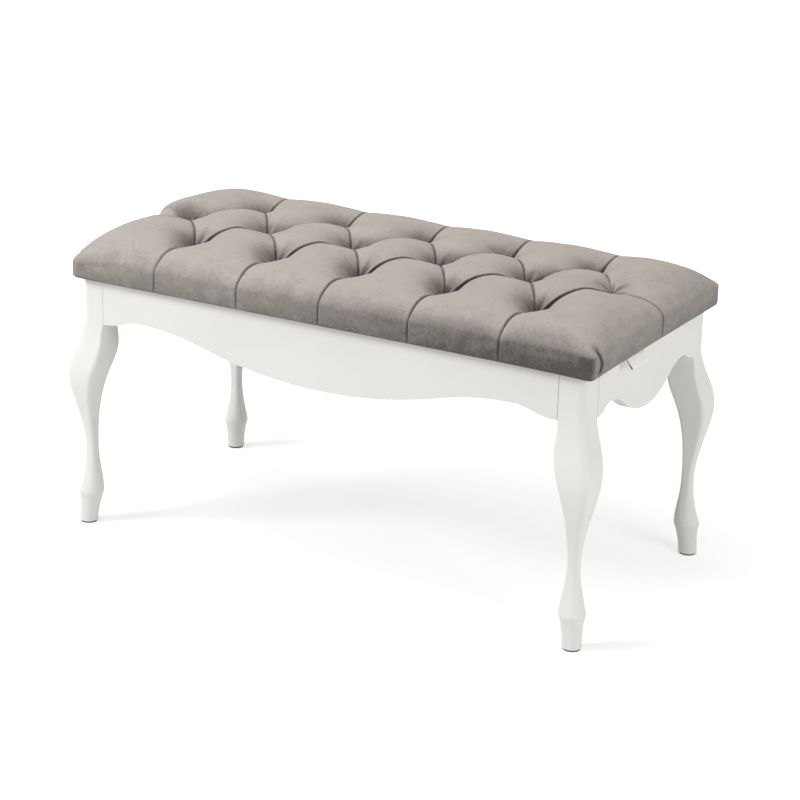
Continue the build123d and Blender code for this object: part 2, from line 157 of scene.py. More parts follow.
floor_mesh = bpy.data.meshes.new("floor")
half = FLOOR_SIZE / 2
floor_mesh.from_pydata([(-half, -half, 0), (half, -half, 0), (half, half, 0), (-half, half, 0)], [], [(0, 1, 2, 3)])
floor = bpy.data.objects.new("floor", floor_mesh)
scene.collection.objects.link(floor)
floor_material, tree = new_material("white_paper")
diffuse = add(tree, "ShaderNodeBsdfDiffuse", {"Color": colour(FLOOR_COLOUR)})
spot = add(tree, "ShaderNodeTexCoord").outputs["Object"]
away = add(tree, "ShaderNodeVectorMath", [spot], operation="LENGTH")
whiter = add(tree, "ShaderNodeMapRange", (away, GLOW_NEAR, GLOW_FAR, FLOOR_GLOW, 1.0))
strength = add(tree, "ShaderNodeMath", (looked_at(tree), whiter), operation="MULTIPLY")
glow = add(tree, "ShaderNodeEmission", {"Color": WHITE, "Strength": strength})
paper = add(tree, "ShaderNodeAddShader", (diffuse, glow))
add(tree, "ShaderNodeOutputMaterial", {"Surface": paper})
floor_mesh.materials.append(floor_material)
print("floor of", FLOOR_SIZE, "m, which glows by", FLOOR_GLOW, "near the bench")

# %% Lamps
# each lamp's place, the point it looks at and its size in metres, and its power in watts
LAMPS = {
    "top": ((-0.4, -0.1, 3.0), (0, 0, 0.4), 1.8, 26.0),
    "key": ((-2.4, -2.3, 2.3), (0, 0, 0.3), 1.2, 73.0),
    "fill": ((3.2, -1.0, 1.3), (0, 0, 0.3), 1.6, 34.0),
}


def area_lamp(name, position, target, size, power):
    """A square soft lamp that looks at a point."""
    data = bpy.data.lights.new(name, "AREA")
    data.shape = "SQUARE"
    data.size = size
    data.energy = power
    lamp = bpy.data.objects.new(name, data)
    scene.collection.objects.link(lamp)
    lamp.location = position
    lamp.rotation_mode = "QUATERNION"
    lamp.rotation_quaternion = (Vector(target) - Vector(position)).to_track_quat("-Z", "Y")


for name, lamp in LAMPS.items():
    area_lamp(name, *lamp)

# %% [markdown]
# ## The cushion's pattern
# A deep-buttoned seat is drawn down at its tufts, and the cloth folds into a pleat from each tuft to the next
# and out to the edge. Sculpting could give such a shape, but no sizes, and on one plain grid the pleats would turn
# into stairs. So the mesh is cut along the pleats: every panel between them is a grid of its own, with rows that
# crowd towards the pleats, where the cloth turns fast, and spread in the middle, where it is smooth.

# %% Sizes of the seat
LENGTH, WIDTH = 900.0, 450.0
FRAME_TOP = 413.0
# tufts stand PITCH apart in rows that are ROW apart
PITCH, ROW = LENGTH / 6, WIDTH / 4
LAST_TUFT = LENGTH / 2 - PITCH / 2
LEFT_CORNER, RIGHT_CORNER = 20.0, 11.0
# heights over the frame's top: of the wall, of the panels' crest, of a tuft and of the pleats between tufts
WALL, CREST, TUFT, PLEAT = 25.0, 79.0, 50.0, 64.5
# distances from the edge at which the top is level, and how boxy its shoulder is
END_ROLL, FRONT_ROLL, REAR_ROLL = 110.0, 112.0, 120.0
FRONT_LEFT_ROLL, REAR_LEFT_ROLL = 105.0, 85.0
END_POWER, SIDE_POWER = 2.0, 1.9
# the hem under the seat, and how far the lower edge hangs down past the frame's top
HEM, OVERHANG, BOTTOM_ROUND = 55.0, 13.0, 4.0
SAG, CORNER_SAG, SAG_REACH = 4.0, 3.0, 70.0
# where the corner tucks are, as distances round the edge from the middle of the end
END_TUCK, REAR_TUCK = 204.0, 240.0
# columns and rows of a panel, and rows of the wall: in the fine mesh and in the even one for the simulation
FINE, FINE_ROWS, FINE_WALL = 40, 44, 9
EVEN, EVEN_ROWS, EVEN_WALL = 14, 18, 3
BOTTOM_STEPS, HEM_ROWS = 4, 3
CROWDING = 0.85


def graded(count):
    """Shares from 0 to 1 that crowd at both ends."""
    t = np.linspace(0, 1, count + 1)
    return t - CROWDING * np.sin(2 * np.pi * t) / (2 * np.pi)


print("tufts every", PITCH, "mm, in rows", ROW, "mm apart; first shares of a panel:", graded(FINE)[:4].round(4))

# %% [markdown]
# ## Tufts and pleats
# The upholsterer marks three rows of tufts in a diamond lattice. A pleat runs from each tuft to its neighbours in the
# next row, and from the outer tufts to the seat's edge. In plan each is a straight line, so plain geometry tells how
# far a point is from a pleat and on which side.

# %% Tufts and pleats
FAR = 1000.0
front_tufts = [((k - 2) * PITCH, -ROW) for k in range(5)]
rear_tufts = [((k - 2) * PITCH, ROW) for k in range(5)]
middle_tufts = [((k - 2.5) * PITCH, 0.0) for k in range(6)]
tufts = np.array(front_tufts + middle_tufts + rear_tufts)
pleats = []
for x, y in front_tufts:
    pleats += [("front_left", (x, y), (x - PITCH / 2, 0)), ("front_right", (x, y), (x + PITCH / 2, 0))]
    pleats.append(("front_edge", (x, y), (x, -FAR)))
for x, y in rear_tufts:
    pleats += [("rear_left", (x, y), (x - PITCH / 2, 0)), ("rear_right", (x, y), (x + PITCH / 2, 0))]
    pleats.append(("rear_edge", (x, y), (x, FAR)))
pleats += [("end_left", middle_tufts[0], (-FAR, 0)), ("end_right", middle_tufts[-1], (FAR, 0))]


def pleat_frame(plan, start, end):
    """For plan points: distance to a pleat, signed distance across it, and the length along it."""
    start, end = np.array(start), np.array(end)
    length = np.linalg.norm(end - start)
    unit = (end - start) / length
    offset = plan - start
    run = np.clip(offset @ unit, 0, length)
    across = offset[..., 0] * unit[1] - offset[..., 1] * unit[0]
    return np.linalg.norm(offset - run[..., None] * unit, axis=-1), across, run


def tuft_distance(plan):
    """Distance from plan points to the nearest tuft."""
    return np.min(np.linalg.norm(plan[..., None, :] - tufts, axis=-1), axis=-1)


print(len(tufts), "tufts and", len(pleats), "pleats")

# %% [markdown]
# ## Height of the seat
# The seat is a plump block with rounded shoulders. A soft valley lies along every pleat, and a funnel at every tuft.
# Points could be moved by hand, but a sum of smooth humps and hollows is easier to steer. How high the pleats and
# tufts lie was traced in the photograph, and so were the places where the padding is fuller or softer than the rule.

# %% Height
# a valley's spread, which is narrower on the side where the cloth folds over
PLEAT_SPREAD, OVER_SPREAD = 40.0, 24.0
OVER_SIDE = {"front_edge": 1, "front_right": -1, "rear_left": 1, "end_right": -1, "end_left": 1}
# depth of the outer pleats under the crest at the edge, and how soon they come up
EDGE_DIP = {"front_edge": 12.0, "rear_edge": 9.0}
EDGE_RUN, EDGE_RISE = {"front_edge": 85.0, "rear_edge": 65.0}, 1.2
END_DIP = {"end_left": 9.0, "end_right": 13.0}
HIDDEN_PLEAT = 56.0
BLEND = 4.0
# funnel at each tuft, and a scoop before it, to the front right
PIT_DEPTH, PIT_WIDTH = 7.0, 25.0
SCOOP_DEPTH = np.array([11.0] * 5 + [8.0, 8.0, 9.0, 10.0, 10.0, 4.0] + [9.0, 10.0, 10.0, 11.0, 14.0])
SCOOP_AT, SCOOP_WIDTH = (10.0, -20.0), 26.0
# the slack tuft at the right end, the low corners and the full rear half of the left end
SOFT_TUFT, SOFT_SHARE, SOFT_WIDTH = (375.0, 0.0), 0.35, 38.0
CORNER_DROP, CORNER_REACH = 6.0, 45.0
LEFT_PUFF, LEFT_PUFF_REACH = 52.0, 55.0
PUFF_START, PUFF_BLEND = 6.0, 8.0
LEFT_LIFT, LEFT_LIFT_AT, LEFT_LIFT_REACH = 6.0, (-425.0, 38.0), 45.0


def pleat_dip(kind, run, length):
    """How far a pleat lies under the crest, at a length along it from its tuft."""
    deep = CREST - TUFT
    if kind in EDGE_RUN:
        rise = np.cos(np.pi / 2 * np.clip(run / EDGE_RUN[kind], 0, 1)) ** EDGE_RISE
        return EDGE_DIP[kind] + (deep - EDGE_DIP[kind]) * rise
    if kind in END_DIP:
        return deep + (END_DIP[kind] - deep) * np.clip(run / (PITCH / 2), 0, 1)
    top = HIDDEN_PLEAT if kind == "rear_left" else PLEAT
    return deep - (top - TUFT) * np.sin(np.pi * np.clip(run / length, 0, 1))


print("a pleat between tufts lies", CREST - PLEAT, "mm under the crest in its middle")


# %% Shoulders and crown
def roll(distance, reach, power):
    """Share of the full height at a distance from an edge: upright at the edge, level from the reach on."""
    t = np.clip(distance / reach, 0, 1)
    return (1 - (1 - t) ** power) ** (1 / power)


def half_width(distance, radius):
    """Half of the seat's width at a distance from its end, where the corner has this radius."""
    inward = np.clip(radius - distance, 0, radius)
    return WIDTH / 2 - radius + np.sqrt(radius ** 2 - inward ** 2)


def wall_height(plan):
    """Height of the seat's wall, which is lower at the left end's corners."""
    gap = np.hypot(LENGTH / 2 + plan[..., 0], WIDTH / 2 - np.abs(plan[..., 1]))
    return WALL - CORNER_DROP * np.exp(-(gap / CORNER_REACH) ** 2)


def end_reach(plan):
    """How far in the seat rolls over its ends. At the left end it bulges behind the end's pleat."""
    x, y = plan[..., 0], plan[..., 1]
    behind = (1 + np.tanh((y + PUFF_START) / PUFF_BLEND)) / 2
    rear = REAR_LEFT_ROLL - LEFT_PUFF * np.exp(-np.clip(y, 0, None) / LEFT_PUFF_REACH)
    return np.where(x < 0, FRONT_LEFT_ROLL + (rear - FRONT_LEFT_ROLL) * behind, END_ROLL)


def crown(plan):
    """Height of the seat over the frame's top at plan points."""
    x, y = plan[..., 0], plan[..., 1]
    end = np.clip(LENGTH / 2 - np.abs(x), 0, None)
    side = np.clip(half_width(end, np.where(x < 0, LEFT_CORNER, RIGHT_CORNER)) - np.abs(y), 0, None)
    puff = roll(end, end_reach(plan), END_POWER) * roll(side, np.where(y < 0, FRONT_ROLL, REAR_ROLL), SIDE_POWER)
    dips = 0.0
    for kind, start, finish in pleats:
        gap, across, run = pleat_frame(plan, start, finish)
        spread = np.where(across * OVER_SIDE.get(kind, 0) > 0, OVER_SPREAD, PLEAT_SPREAD)
        dip = pleat_dip(kind, run, math.dist(start, finish)) * np.exp(-gap / spread)
        dips = dips + dip ** BLEND
    pit = PIT_DEPTH * np.exp(-(tuft_distance(plan) / PIT_WIDTH) ** 2)
    before = np.linalg.norm(plan[..., None, :] - SCOOP_AT - tufts, axis=-1)
    pit = pit + np.max(SCOOP_DEPTH * np.exp(-(before / SCOOP_WIDTH) ** 2), axis=-1)
    soft = 1 - SOFT_SHARE * np.exp(-(np.linalg.norm(plan - SOFT_TUFT, axis=-1) / SOFT_WIDTH) ** 2)
    lift = LEFT_LIFT * np.exp(-(np.linalg.norm(plan - LEFT_LIFT_AT, axis=-1) / LEFT_LIFT_REACH) ** 2)
    wall = wall_height(plan)
    return wall + (CREST - wall + lift - (dips ** (1 / BLEND) + pit) * soft) * puff


print("height over the frame in the middle and at a tuft:", np.round(crown(np.array(((0.0, 0.0), (75.0, 0.0)))), 1))

# %% [markdown]
# ## Panels
# A diamond lies between four tufts. A side panel runs from two diagonals to the seat's edge and on down its wall. A
# corner panel fans out from one diagonal round the seat's corner. Each is a grid of plan points, and only the front
# and the left are worked out, because a flip of the signs gives the others. Where panels meet they have the same
# points, so they can be sewn together.


# %% The seat's edge and hem
def along(start, end, shares):
    """Points between start and end at these shares of the way."""
    start, end = np.array(start, float), np.array(end, float)
    return start + (end - start) * np.asarray(shares)[:, None]


def edge_point(s, radius):
    """Point on the seat's edge at a distance s from the middle of the left end, towards the front."""
    straight = WIDTH / 2 - radius
    turn = np.clip((s - straight) / radius, 0, math.pi / 2)
    past = np.clip(s - straight - radius * math.pi / 2, 0, None)
    x = -LENGTH / 2 + radius * (1 - np.cos(turn)) + past
    y = -np.minimum(s, straight) - radius * np.sin(turn)
    outward = np.stack([-np.cos(turn), -np.sin(turn)], -1)
    return np.stack([x, y], -1), outward


def sag_depth(plan):
    """How far the cushion's lower edge hangs below the frame's top, most at the front right corner."""
    gap = np.linalg.norm(plan - np.array((LENGTH / 2, -WIDTH / 2)), axis=-1)
    return SAG + CORNER_SAG * np.exp(-gap / SAG_REACH)


def to_hem(inside, outside, outward, top_shares, wall_rows, flip=(1, 1)):
    """Columns from inside points to the edge, then down the wall, round its lower edge and under to the hem.

    Gives plan points, and their heights where the crown doesn't set them. The panel's flip says where it will lie.
    """
    plan = [inside[:, None] + (outside - inside)[:, None] * top_shares[None, :, None]]
    heights = [np.full(plan[0].shape[:2], np.nan)]
    wall, sag = wall_height(outside * flip), sag_depth(outside * flip)
    lowest = BOTTOM_ROUND - sag
    for k in range(1, wall_rows + 1):
        plan.append(outside[:, None])
        heights.append((wall + (lowest - wall) * k / wall_rows)[:, None])
    for turn in np.linspace(0, math.pi / 2, BOTTOM_STEPS + 1)[1:]:
        plan.append((outside - outward * BOTTOM_ROUND * (1 - math.cos(turn)))[:, None])
        heights.append((lowest - BOTTOM_ROUND * math.sin(turn))[:, None])
    under = outside - outward * BOTTOM_ROUND
    hem_edge = outside * (1 - 2 * HEM / np.array((LENGTH, WIDTH)))
    for share in np.linspace((OVERHANG - BOTTOM_ROUND) / (HEM - BOTTOM_ROUND), 1, HEM_ROWS):
        plan.append((under + (hem_edge - under) * share)[:, None])
        heights.append(np.zeros((len(inside), 1)))
    return np.concatenate(plan, 1), np.concatenate(heights, 1)


print("the front tuck is at", edge_point(np.array([END_TUCK]), LEFT_CORNER)[0].round(1), "in plan")


# %% Panels
GRADE_STEPS = 400


def diamond(x, s):
    """Grid between the front, right, rear and left tufts round x."""
    front = np.array((x, -ROW))
    p, q = np.meshgrid(s, s, indexing="ij")
    plan = front + p[..., None] * np.array((PITCH / 2, ROW)) + q[..., None] * np.array((-PITCH / 2, ROW))
    return plan, np.full(p.shape, np.nan)


def side_panel(x, s, top_shares, wall_rows, flip):
    """Between the front tufts at x and x + PITCH, with the middle row's tuft at its apex."""
    rising = along((x, -ROW), (x + PITCH / 2, 0), s)
    falling = along((x + PITCH / 2, 0), (x + PITCH, -ROW), s)
    inside = np.concatenate([rising, falling[1:]])
    outside = np.stack([inside[:, 0], np.full(len(inside), -WIDTH / 2)], -1)
    outward = np.tile((0.0, -1.0), (len(inside), 1))
    return to_hem(inside, outside, outward, top_shares, wall_rows, flip)


def corner_panel(tuck, s, top_shares, wall_rows, flip):
    """The front left corner, from the end's pleat round to the first front pleat.

    The columns crowd at both pleats and at the tuck, the corner's own fold, a distance round the edge.
    """
    inside = along((-LAST_TUFT, 0), (PITCH / 2 - LAST_TUFT, -ROW), s)
    radius = LEFT_CORNER if flip[0] > 0 else RIGHT_CORNER
    total = WIDTH / 2 + LENGTH / 2 - radius * (2 - math.pi / 2) - (LAST_TUFT - PITCH / 2)
    ruler, crowded = np.linspace(0, 1, GRADE_STEPS + 1), graded(GRADE_STEPS)
    even = np.interp(s, crowded, ruler)
    crowd = np.interp((2 * even) % 1.0, ruler, crowded)
    spots = np.where(even < 0.5, tuck * crowd, tuck + (total - tuck) * crowd)
    spots[-1] = total
    outside, outward = edge_point(spots, radius)
    return to_hem(inside, outside, outward, top_shares, wall_rows, flip)


def all_panels(s, top_shares, wall_rows):
    """Every panel at one resolution, in a fixed order."""
    panels = [diamond((k - 2) * PITCH, s) for k in range(5)]
    for k in range(4):
        for flip in ((1, 1), (1, -1)):
            plan, heights = side_panel((k - 2) * PITCH, s, top_shares, wall_rows, flip)
            panels.append((plan * flip, heights))
    for flip in ((1, 1), (-1, 1), (1, -1), (-1, -1)):
        tuck = END_TUCK if flip[1] > 0 else REAR_TUCK
        plan, heights = corner_panel(tuck, s, top_shares, wall_rows, flip)
        panels.append((plan * flip, heights))
    return panels


fine_panels = all_panels(graded(FINE), graded(FINE_ROWS), FINE_WALL)
even_panels = all_panels(np.linspace(0, 1, EVEN + 1), np.linspace(0, 1, EVEN_ROWS + 1), EVEN_WALL)
print(len(fine_panels), "panels; a diamond has", fine_panels[0][1].shape, "points")


# %% Sew the panels
def sew(panels):
    """Joins the panels into one set of points and faces; points on the same spot become one.

    A flipped panel would face down, so its faces are turned round.
    """
    points, faces, start = [], [], 0
    for plan, heights in panels:
        rows, columns = heights.shape
        z = np.where(np.isnan(heights), crown(plan), heights)
        points.append(np.concatenate([plan, z[..., None]], -1).reshape(-1, 3))
        grid = start + np.arange(rows * columns).reshape(rows, columns)
        corners = [grid[:-1, :-1], grid[1:, :-1], grid[1:, 1:], grid[:-1, 1:]]
        third = rows // 3
        (ax, ay), (bx, by) = plan[third + 1, 2] - plan[third, 2], plan[third, 3] - plan[third, 2]
        if ax * by < ay * bx:
            corners.reverse()
        faces.append(np.stack(corners, -1).reshape(-1, 4))
        start += rows * columns
    points, faces = np.concatenate(points), np.concatenate(faces)
    _, first, index = np.unique(np.round(points, 3), axis=0, return_index=True, return_inverse=True)
    index = index.reshape(-1)
    return points[first], index[faces], index


flat, faces, fine_index = sew(fine_panels)
even_flat, even_faces, even_index = sew(even_panels)
print("the sewn cover has", len(faces), "faces; for the simulation", len(even_faces))

# %% [markdown]
# ## Nearest pleat
# For each point the nearest pleat is found, with the distance to it and the side that the point is on. The pins for
# the simulation and the shape of the folds come from these.

# %% Nearest pleat
ON_PLEAT = 1e-3


def nearest_pleat(plan):
    """Distance to the nearest pleat, which pleat it is, and the signed distance across it."""
    parts = np.array([pleat_frame(plan, start, end) for kind, start, end in pleats])
    which = parts[:, 0].argmin(0)
    gap, across, _ = np.take_along_axis(parts, which[None, None], 0)[0]
    return gap, which, across


pleat_gap, pleat_index, pleat_side = nearest_pleat(flat[:, :2])
tuft_gap = tuft_distance(flat[:, :2])
print(int((pleat_gap < ON_PLEAT).sum()), "points lie on a pleat")

# %% [markdown]
# ## Swelling the cover
# The cover is a cloth under the pressure of its foam. The tufts, the pleats and the hem hold it, and the panels
# swell between them. A formula for the swell would look like a formula, so Blender's cloth finds it. It runs on an
# even mesh, because crowded rows would make it stiff in places, and its movement is carried over to the fine mesh
# panel by panel. No point may move further than a cap.

# %% Cloth simulation
CLOTH = {
    "quality": 5, "mass": 0.02, "tension_stiffness": 12, "compression_stiffness": 4, "shear_stiffness": 4,
    "bending_stiffness": 0.4, "use_pressure": True, "uniform_pressure_force": 10.0,
}
FRAMES = 20
CAP = 9.0


def make_mesh(name, coordinates, polygons):
    """A mesh from coordinates in millimetres."""
    mesh = bpy.data.meshes.new(name)
    mesh.from_pydata((coordinates * MM).tolist(), [], polygons.tolist())
    mesh.update()
    return mesh


def swell(coordinates, polygons, pinned):
    """Runs the cloth from these points, and gives where they come to rest."""
    mesh = make_mesh("cover_at_start", coordinates, polygons)
    cover = bpy.data.objects.new("cover_at_start", mesh)
    scene.collection.objects.link(cover)
    group = cover.vertex_groups.new(name="pins")
    group.add(np.flatnonzero(pinned).tolist(), 1.0, "REPLACE")
    cloth = cover.modifiers.new("cloth", "CLOTH")
    for key, value in CLOTH.items():
        setattr(cloth.settings, key, value)
    cloth.settings.vertex_group_mass = "pins"
    cloth.settings.effector_weights.gravity = 0.0
    cloth.collision_settings.use_collision = False
    cloth.point_cache.frame_start, cloth.point_cache.frame_end = 1, FRAMES
    for number in range(1, FRAMES + 1):
        scene.frame_set(number)
    evaluated = cover.evaluated_get(bpy.context.evaluated_depsgraph_get())
    result = np.zeros(len(coordinates) * 3)
    evaluated.data.vertices.foreach_get("co", result)
    scene.frame_set(1)
    bpy.data.objects.remove(cover)
    bpy.data.meshes.remove(mesh)
    return result.reshape(-1, 3) / MM


print("cloth:", CLOTH)


# %% Carry the swell over to the fine mesh
def resample(values, spots):
    """Smooth curve through values along the first axis, read at these index positions."""
    base = np.clip(np.floor(spots).astype(int), 0, len(values) - 2)
    t = (spots - base).reshape(-1, *[1] * (values.ndim - 1))
    p = [values[np.clip(base + k, 0, len(values) - 1)] for k in (-1, 0, 1, 2)]
    return p[1] + 0.5 * t * (p[2] - p[0] + t * (2 * p[0] - 5 * p[1] + 4 * p[2] - p[3]
                                             + t * (3 * (p[1] - p[2]) + p[3] - p[0])))


def carry_over(moved):
    """The movement of the even mesh's points, read at the fine mesh's points."""
    columns = graded(FINE) * EVEN
    wall = EVEN_ROWS + np.arange(1, FINE_WALL + 1) * EVEN_WALL / FINE_WALL
    rows = np.concatenate([graded(FINE_ROWS) * EVEN_ROWS, wall])
    result = np.zeros((len(flat), 3))
    start = even_start = 0
    for (plan, _), (even_plan, _) in zip(fine_panels, even_panels):
        shape, even_shape = plan.shape[:2], even_plan.shape[:2]
        end, even_end = start + math.prod(shape), even_start + math.prod(even_shape)
        grid = moved[even_index[even_start:even_end]].reshape(*even_shape, 3)
        inner = shape[0] == shape[1]
        across = columns if shape[0] == FINE + 1 else np.concatenate([columns, EVEN + columns[1:]])
        down = columns if inner else rows
        kept = grid[:, :EVEN + 1] if inner else grid[:, :EVEN_ROWS + EVEN_WALL + 1]
        field = resample(kept, across).swapaxes(0, 1)
        field = resample(field, down).swapaxes(0, 1)
        full = np.zeros((*shape, 3))
        full[:, :field.shape[1]] = field
        result[fine_index[start:end]] = full.reshape(-1, 3)
        start, even_start = end, even_end
    return result


swollen = flat + (0, 0, FRAME_TOP)
even_base = even_flat + (0, 0, FRAME_TOP)
even_pins = (nearest_pleat(even_flat[:, :2])[0] < ON_PLEAT) | (even_flat[:, 2] <= BOTTOM_ROUND)
moved = swell(even_base, even_faces, even_pins) - even_base
size = np.linalg.norm(moved, axis=1)
moved *= np.minimum(1, CAP / np.maximum(size, 1e-9))[:, None]
swollen = swollen + carry_over(moved)
print("the cover swells by", size.mean().round(1), "mm on average and", size.max().round(1), "at most")

# %% [markdown]
# ## Tufts where the photograph has them
# The upholsterer's tufts aren't on a perfect lattice. Each one has a small shift, and so have the lower ends of the
# front pleats, at the hem. Shifted panels would be hard to flip and sew, so the cover is made on the lattice first,
# and then the cloth round each tuft follows its shift.

# %% Shift the tufts
FRONT_SHIFT = ((13, 0), (14, 0), (10, 2), (10, -2), (10, -8))
MIDDLE_SHIFT = ((-6, 5), (-8, 8), (0, 6), (3, 4), (8, 0), (-8, 8))
REAR_SHIFT = ((-8, -4), (-4, -8), (0, -12), (-2, -14), (0, -20))
HEM_SHIFT = ((17, 0), (17, 0), (10, 0), (10, 0), (5.5, 0))
SHIFT_SPREAD, SHIFT_FADE = 45.0, 0.02
END_FADE, SIDE_FADE = 70.0, 110.0

shifts = np.array(FRONT_SHIFT + MIDDLE_SHIFT + REAR_SHIFT + HEM_SHIFT, float)
anchors = np.vstack((tufts, [(x, -WIDTH / 2) for x, y in front_tufts]))
reach = np.linalg.norm(flat[:, None, :2] - anchors, axis=2)
pull = np.exp(-(reach / SHIFT_SPREAD) ** 2 / 2)
shift = pull @ shifts / (pull.sum(1, keepdims=True) + SHIFT_FADE)
inside = np.array((LENGTH / 2, WIDTH / 2)) - np.abs(flat[:, :2])
shift[:, 0] *= np.clip(inside[:, 0] / END_FADE, 0, 1)
shift[:, 1] *= np.clip(inside[:, 1] / SIDE_FADE, 0, 1)
swollen[:, :2] += shift
print("largest shift", np.abs(shift).max().round(1), "mm")

# %% [markdown]
# ## Folds
# At a pleat the cloth turns down into a narrow crease, with a slight lip on one side. Short wrinkles run out from
# each tuft, and beside each corner the cloth is tucked in. Bump in the material could only shade such folds. Here
# they are pressed into the mesh along its normals, so they also show in the outline and cast shadows.

# %% Folds and tucks
# depth and width of the crease, height of its lip and the side the lip is on
FOLDS = {
    "front_edge": (3.5, 1.1, 1.0, 1),
    "front_left": (3.2, 0.9, 0.7, 1),
    "front_right": (5.0, 1.2, 1.8, -1),
    "rear_left": (1.2, 2.5, 0.0, 1),
    "rear_right": (3.2, 0.9, 0.5, -1),
    "rear_edge": (2.6, 0.9, 0.8, -1),
    "end_left": (2.0, 3.0, 0.0, 1),
    "end_right": (5.0, 1.4, 0.4, 1),
}
LIP_AT, LIP_WIDTH = 3.0, 1.7
SLACK, SLACK_REACH, END_SLACK_REACH = 0.85, 25.0, 60.0
WRINKLES, WRINKLE_DEPTH, WRINKLE_AT, WRINKLE_WIDTH = 8, 0.8, 17.0, 9.0
TUCK_DEPTH, TUCK_WIDTH, TUCK_LENGTH = 7.0, 1.8, 22.0
TUCK_BOW, TUCK_BOW_WIDTH = 7.0, 10.0
HEM_FADE, WALL_SHARE = 6.0, 0.6
SEED = 7
kinds = np.array([kind for kind, start, end in pleats])
fold_depth, fold_width, lip_height, lip_side = np.array([FOLDS[kind] for kind in kinds])[pleat_index].T


def normals_of(coordinates):
    """The cover's normals when its points lie at these coordinates."""
    mesh = make_mesh("for_normals", coordinates, faces)
    result = np.zeros(len(coordinates) * 3)
    mesh.vertices.foreach_get("normal", result)
    bpy.data.meshes.remove(mesh)
    return result.reshape(-1, 3)


print("deepest creases:", fold_depth.max(), "mm; narrowest", fold_width.min(), "mm")


# %% Creases, wrinkles and tucks
def slack():
    """Share of the creases that is left near the slack tuft at the right end."""
    gap = np.linalg.norm(flat[:, :2] - SOFT_TUFT, axis=1)
    reach = np.where(kinds[pleat_index] == "end_right", END_SLACK_REACH, SLACK_REACH)
    return 1 - SLACK * np.exp(-(gap / reach) ** 2)


def creases():
    """Height that the nearest pleat's crease and lip add at every point."""
    on_lip = np.exp(-((pleat_gap - LIP_AT) / LIP_WIDTH) ** 2) * (pleat_side * lip_side > 0)
    return (lip_height * on_lip - fold_depth * np.exp(-pleat_gap / fold_width)) * slack()


def wrinkles():
    """Short wrinkles round every tuft, each tuft with a turn of its own."""
    turns = np.random.default_rng(SEED).uniform(0, 2 * np.pi, len(tufts))
    offset = flat[:, None, :2] - tufts
    nearest = np.linalg.norm(offset, axis=2).argmin(1)
    offset = np.take_along_axis(offset, nearest[:, None, None], 1)[:, 0]
    angle = np.arctan2(offset[:, 1], offset[:, 0])
    ring = np.exp(-((tuft_gap - WRINKLE_AT) / WRINKLE_WIDTH) ** 2)
    return WRINKLE_DEPTH * ring * np.cos(WRINKLES * angle + turns[nearest])


def tucks():
    """A short fold that runs up the wall beside each corner."""
    total = np.zeros(len(flat))
    for tuck, flip_y in ((END_TUCK, 1), (REAR_TUCK, -1)):
        for flip_x, radius in ((1, LEFT_CORNER), (-1, RIGHT_CORNER)):
            (foot,), (outward,) = edge_point(np.array([tuck]), radius)
            flip = np.array((flip_x, flip_y))
            offset = flat[:, :2] - foot * flip
            inward = -outward * flip
            run = np.clip(offset @ inward, 0, TUCK_LENGTH)
            gap = np.linalg.norm(offset - run[:, None] * inward, axis=1)
            total -= TUCK_DEPTH * (1 - run / TUCK_LENGTH) * np.exp(-gap / TUCK_WIDTH)
    return total


def bow(height):
    """Slides the cloth sideways on the end walls, so that the front tucks bend like a bow."""
    beside = np.abs(flat[:, 1] + END_TUCK)
    on_end = np.abs(flat[:, 0]) > LENGTH / 2 - BOTTOM_ROUND
    arc = np.sin(np.pi * np.clip((height + SAG) / (WALL + 2 * SAG), 0, 1))
    return TUCK_BOW * arc * np.exp(-(beside / TUCK_BOW_WIDTH) ** 2) * on_end


print("creases from", creases().min().round(1), "to", creases().max().round(1), "mm")

# %% Press the folds in
press = creases() + wrinkles() + tucks()
height = swollen[:, 2] - FRAME_TOP
press *= np.clip((height + SAG) / HEM_FADE, 0, 1) * np.interp(height, (WALL, 2 * WALL), (WALL_SHARE, 1.0))
folded = swollen + normals_of(swollen) * press[:, None]
folded[:, 1] += bow(height)
print("deepest fold", round(float(-press.min()), 1), "mm")

# %% [markdown]
# ## The cushion as one closed piece
# The cover is drawn round the board and its hem ends under the seat. An open skin would show its inside from below
# and would have no volume. So the hem's inner edge is turned up a little and the hole is filled, out of sight above
# the dust cover.

# %% Close the cushion
LID_STEP = 0.25


def link(name, mesh, smooth=True):
    """A new object in the scene with this mesh."""
    item = bpy.data.objects.new(name, mesh)
    scene.collection.objects.link(item)
    mesh.polygons.foreach_set("use_smooth", [smooth] * len(mesh.polygons))
    return item


def close_underside(mesh):
    """Turns the rim up, fills the hole, and tells whether the skin is closed."""
    shell = bmesh.new()
    shell.from_mesh(mesh)
    rim = [edge for edge in shell.edges if edge.is_boundary]
    for edge in rim:
        edge.smooth = False
    made = bmesh.ops.extrude_edge_only(shell, edges=rim)["geom"]
    for item in made:
        if isinstance(item, bmesh.types.BMVert):
            item.co.z += LID_STEP * MM
        elif isinstance(item, bmesh.types.BMEdge):
            item.smooth = False
    bmesh.ops.holes_fill(shell, edges=[edge for edge in shell.edges if edge.is_boundary], sides=0)
    bmesh.ops.recalc_face_normals(shell, faces=shell.faces)
    shell.to_mesh(mesh)
    closed = all(edge.is_manifold for edge in shell.edges)
    shell.free()
    return closed


cushion_mesh = make_mesh("cushion", folded, faces)
closed = close_underside(cushion_mesh)
cushion = link("cushion", cushion_mesh)
print("cushion:", len(cushion_mesh.polygons), "faces, closed:", closed)
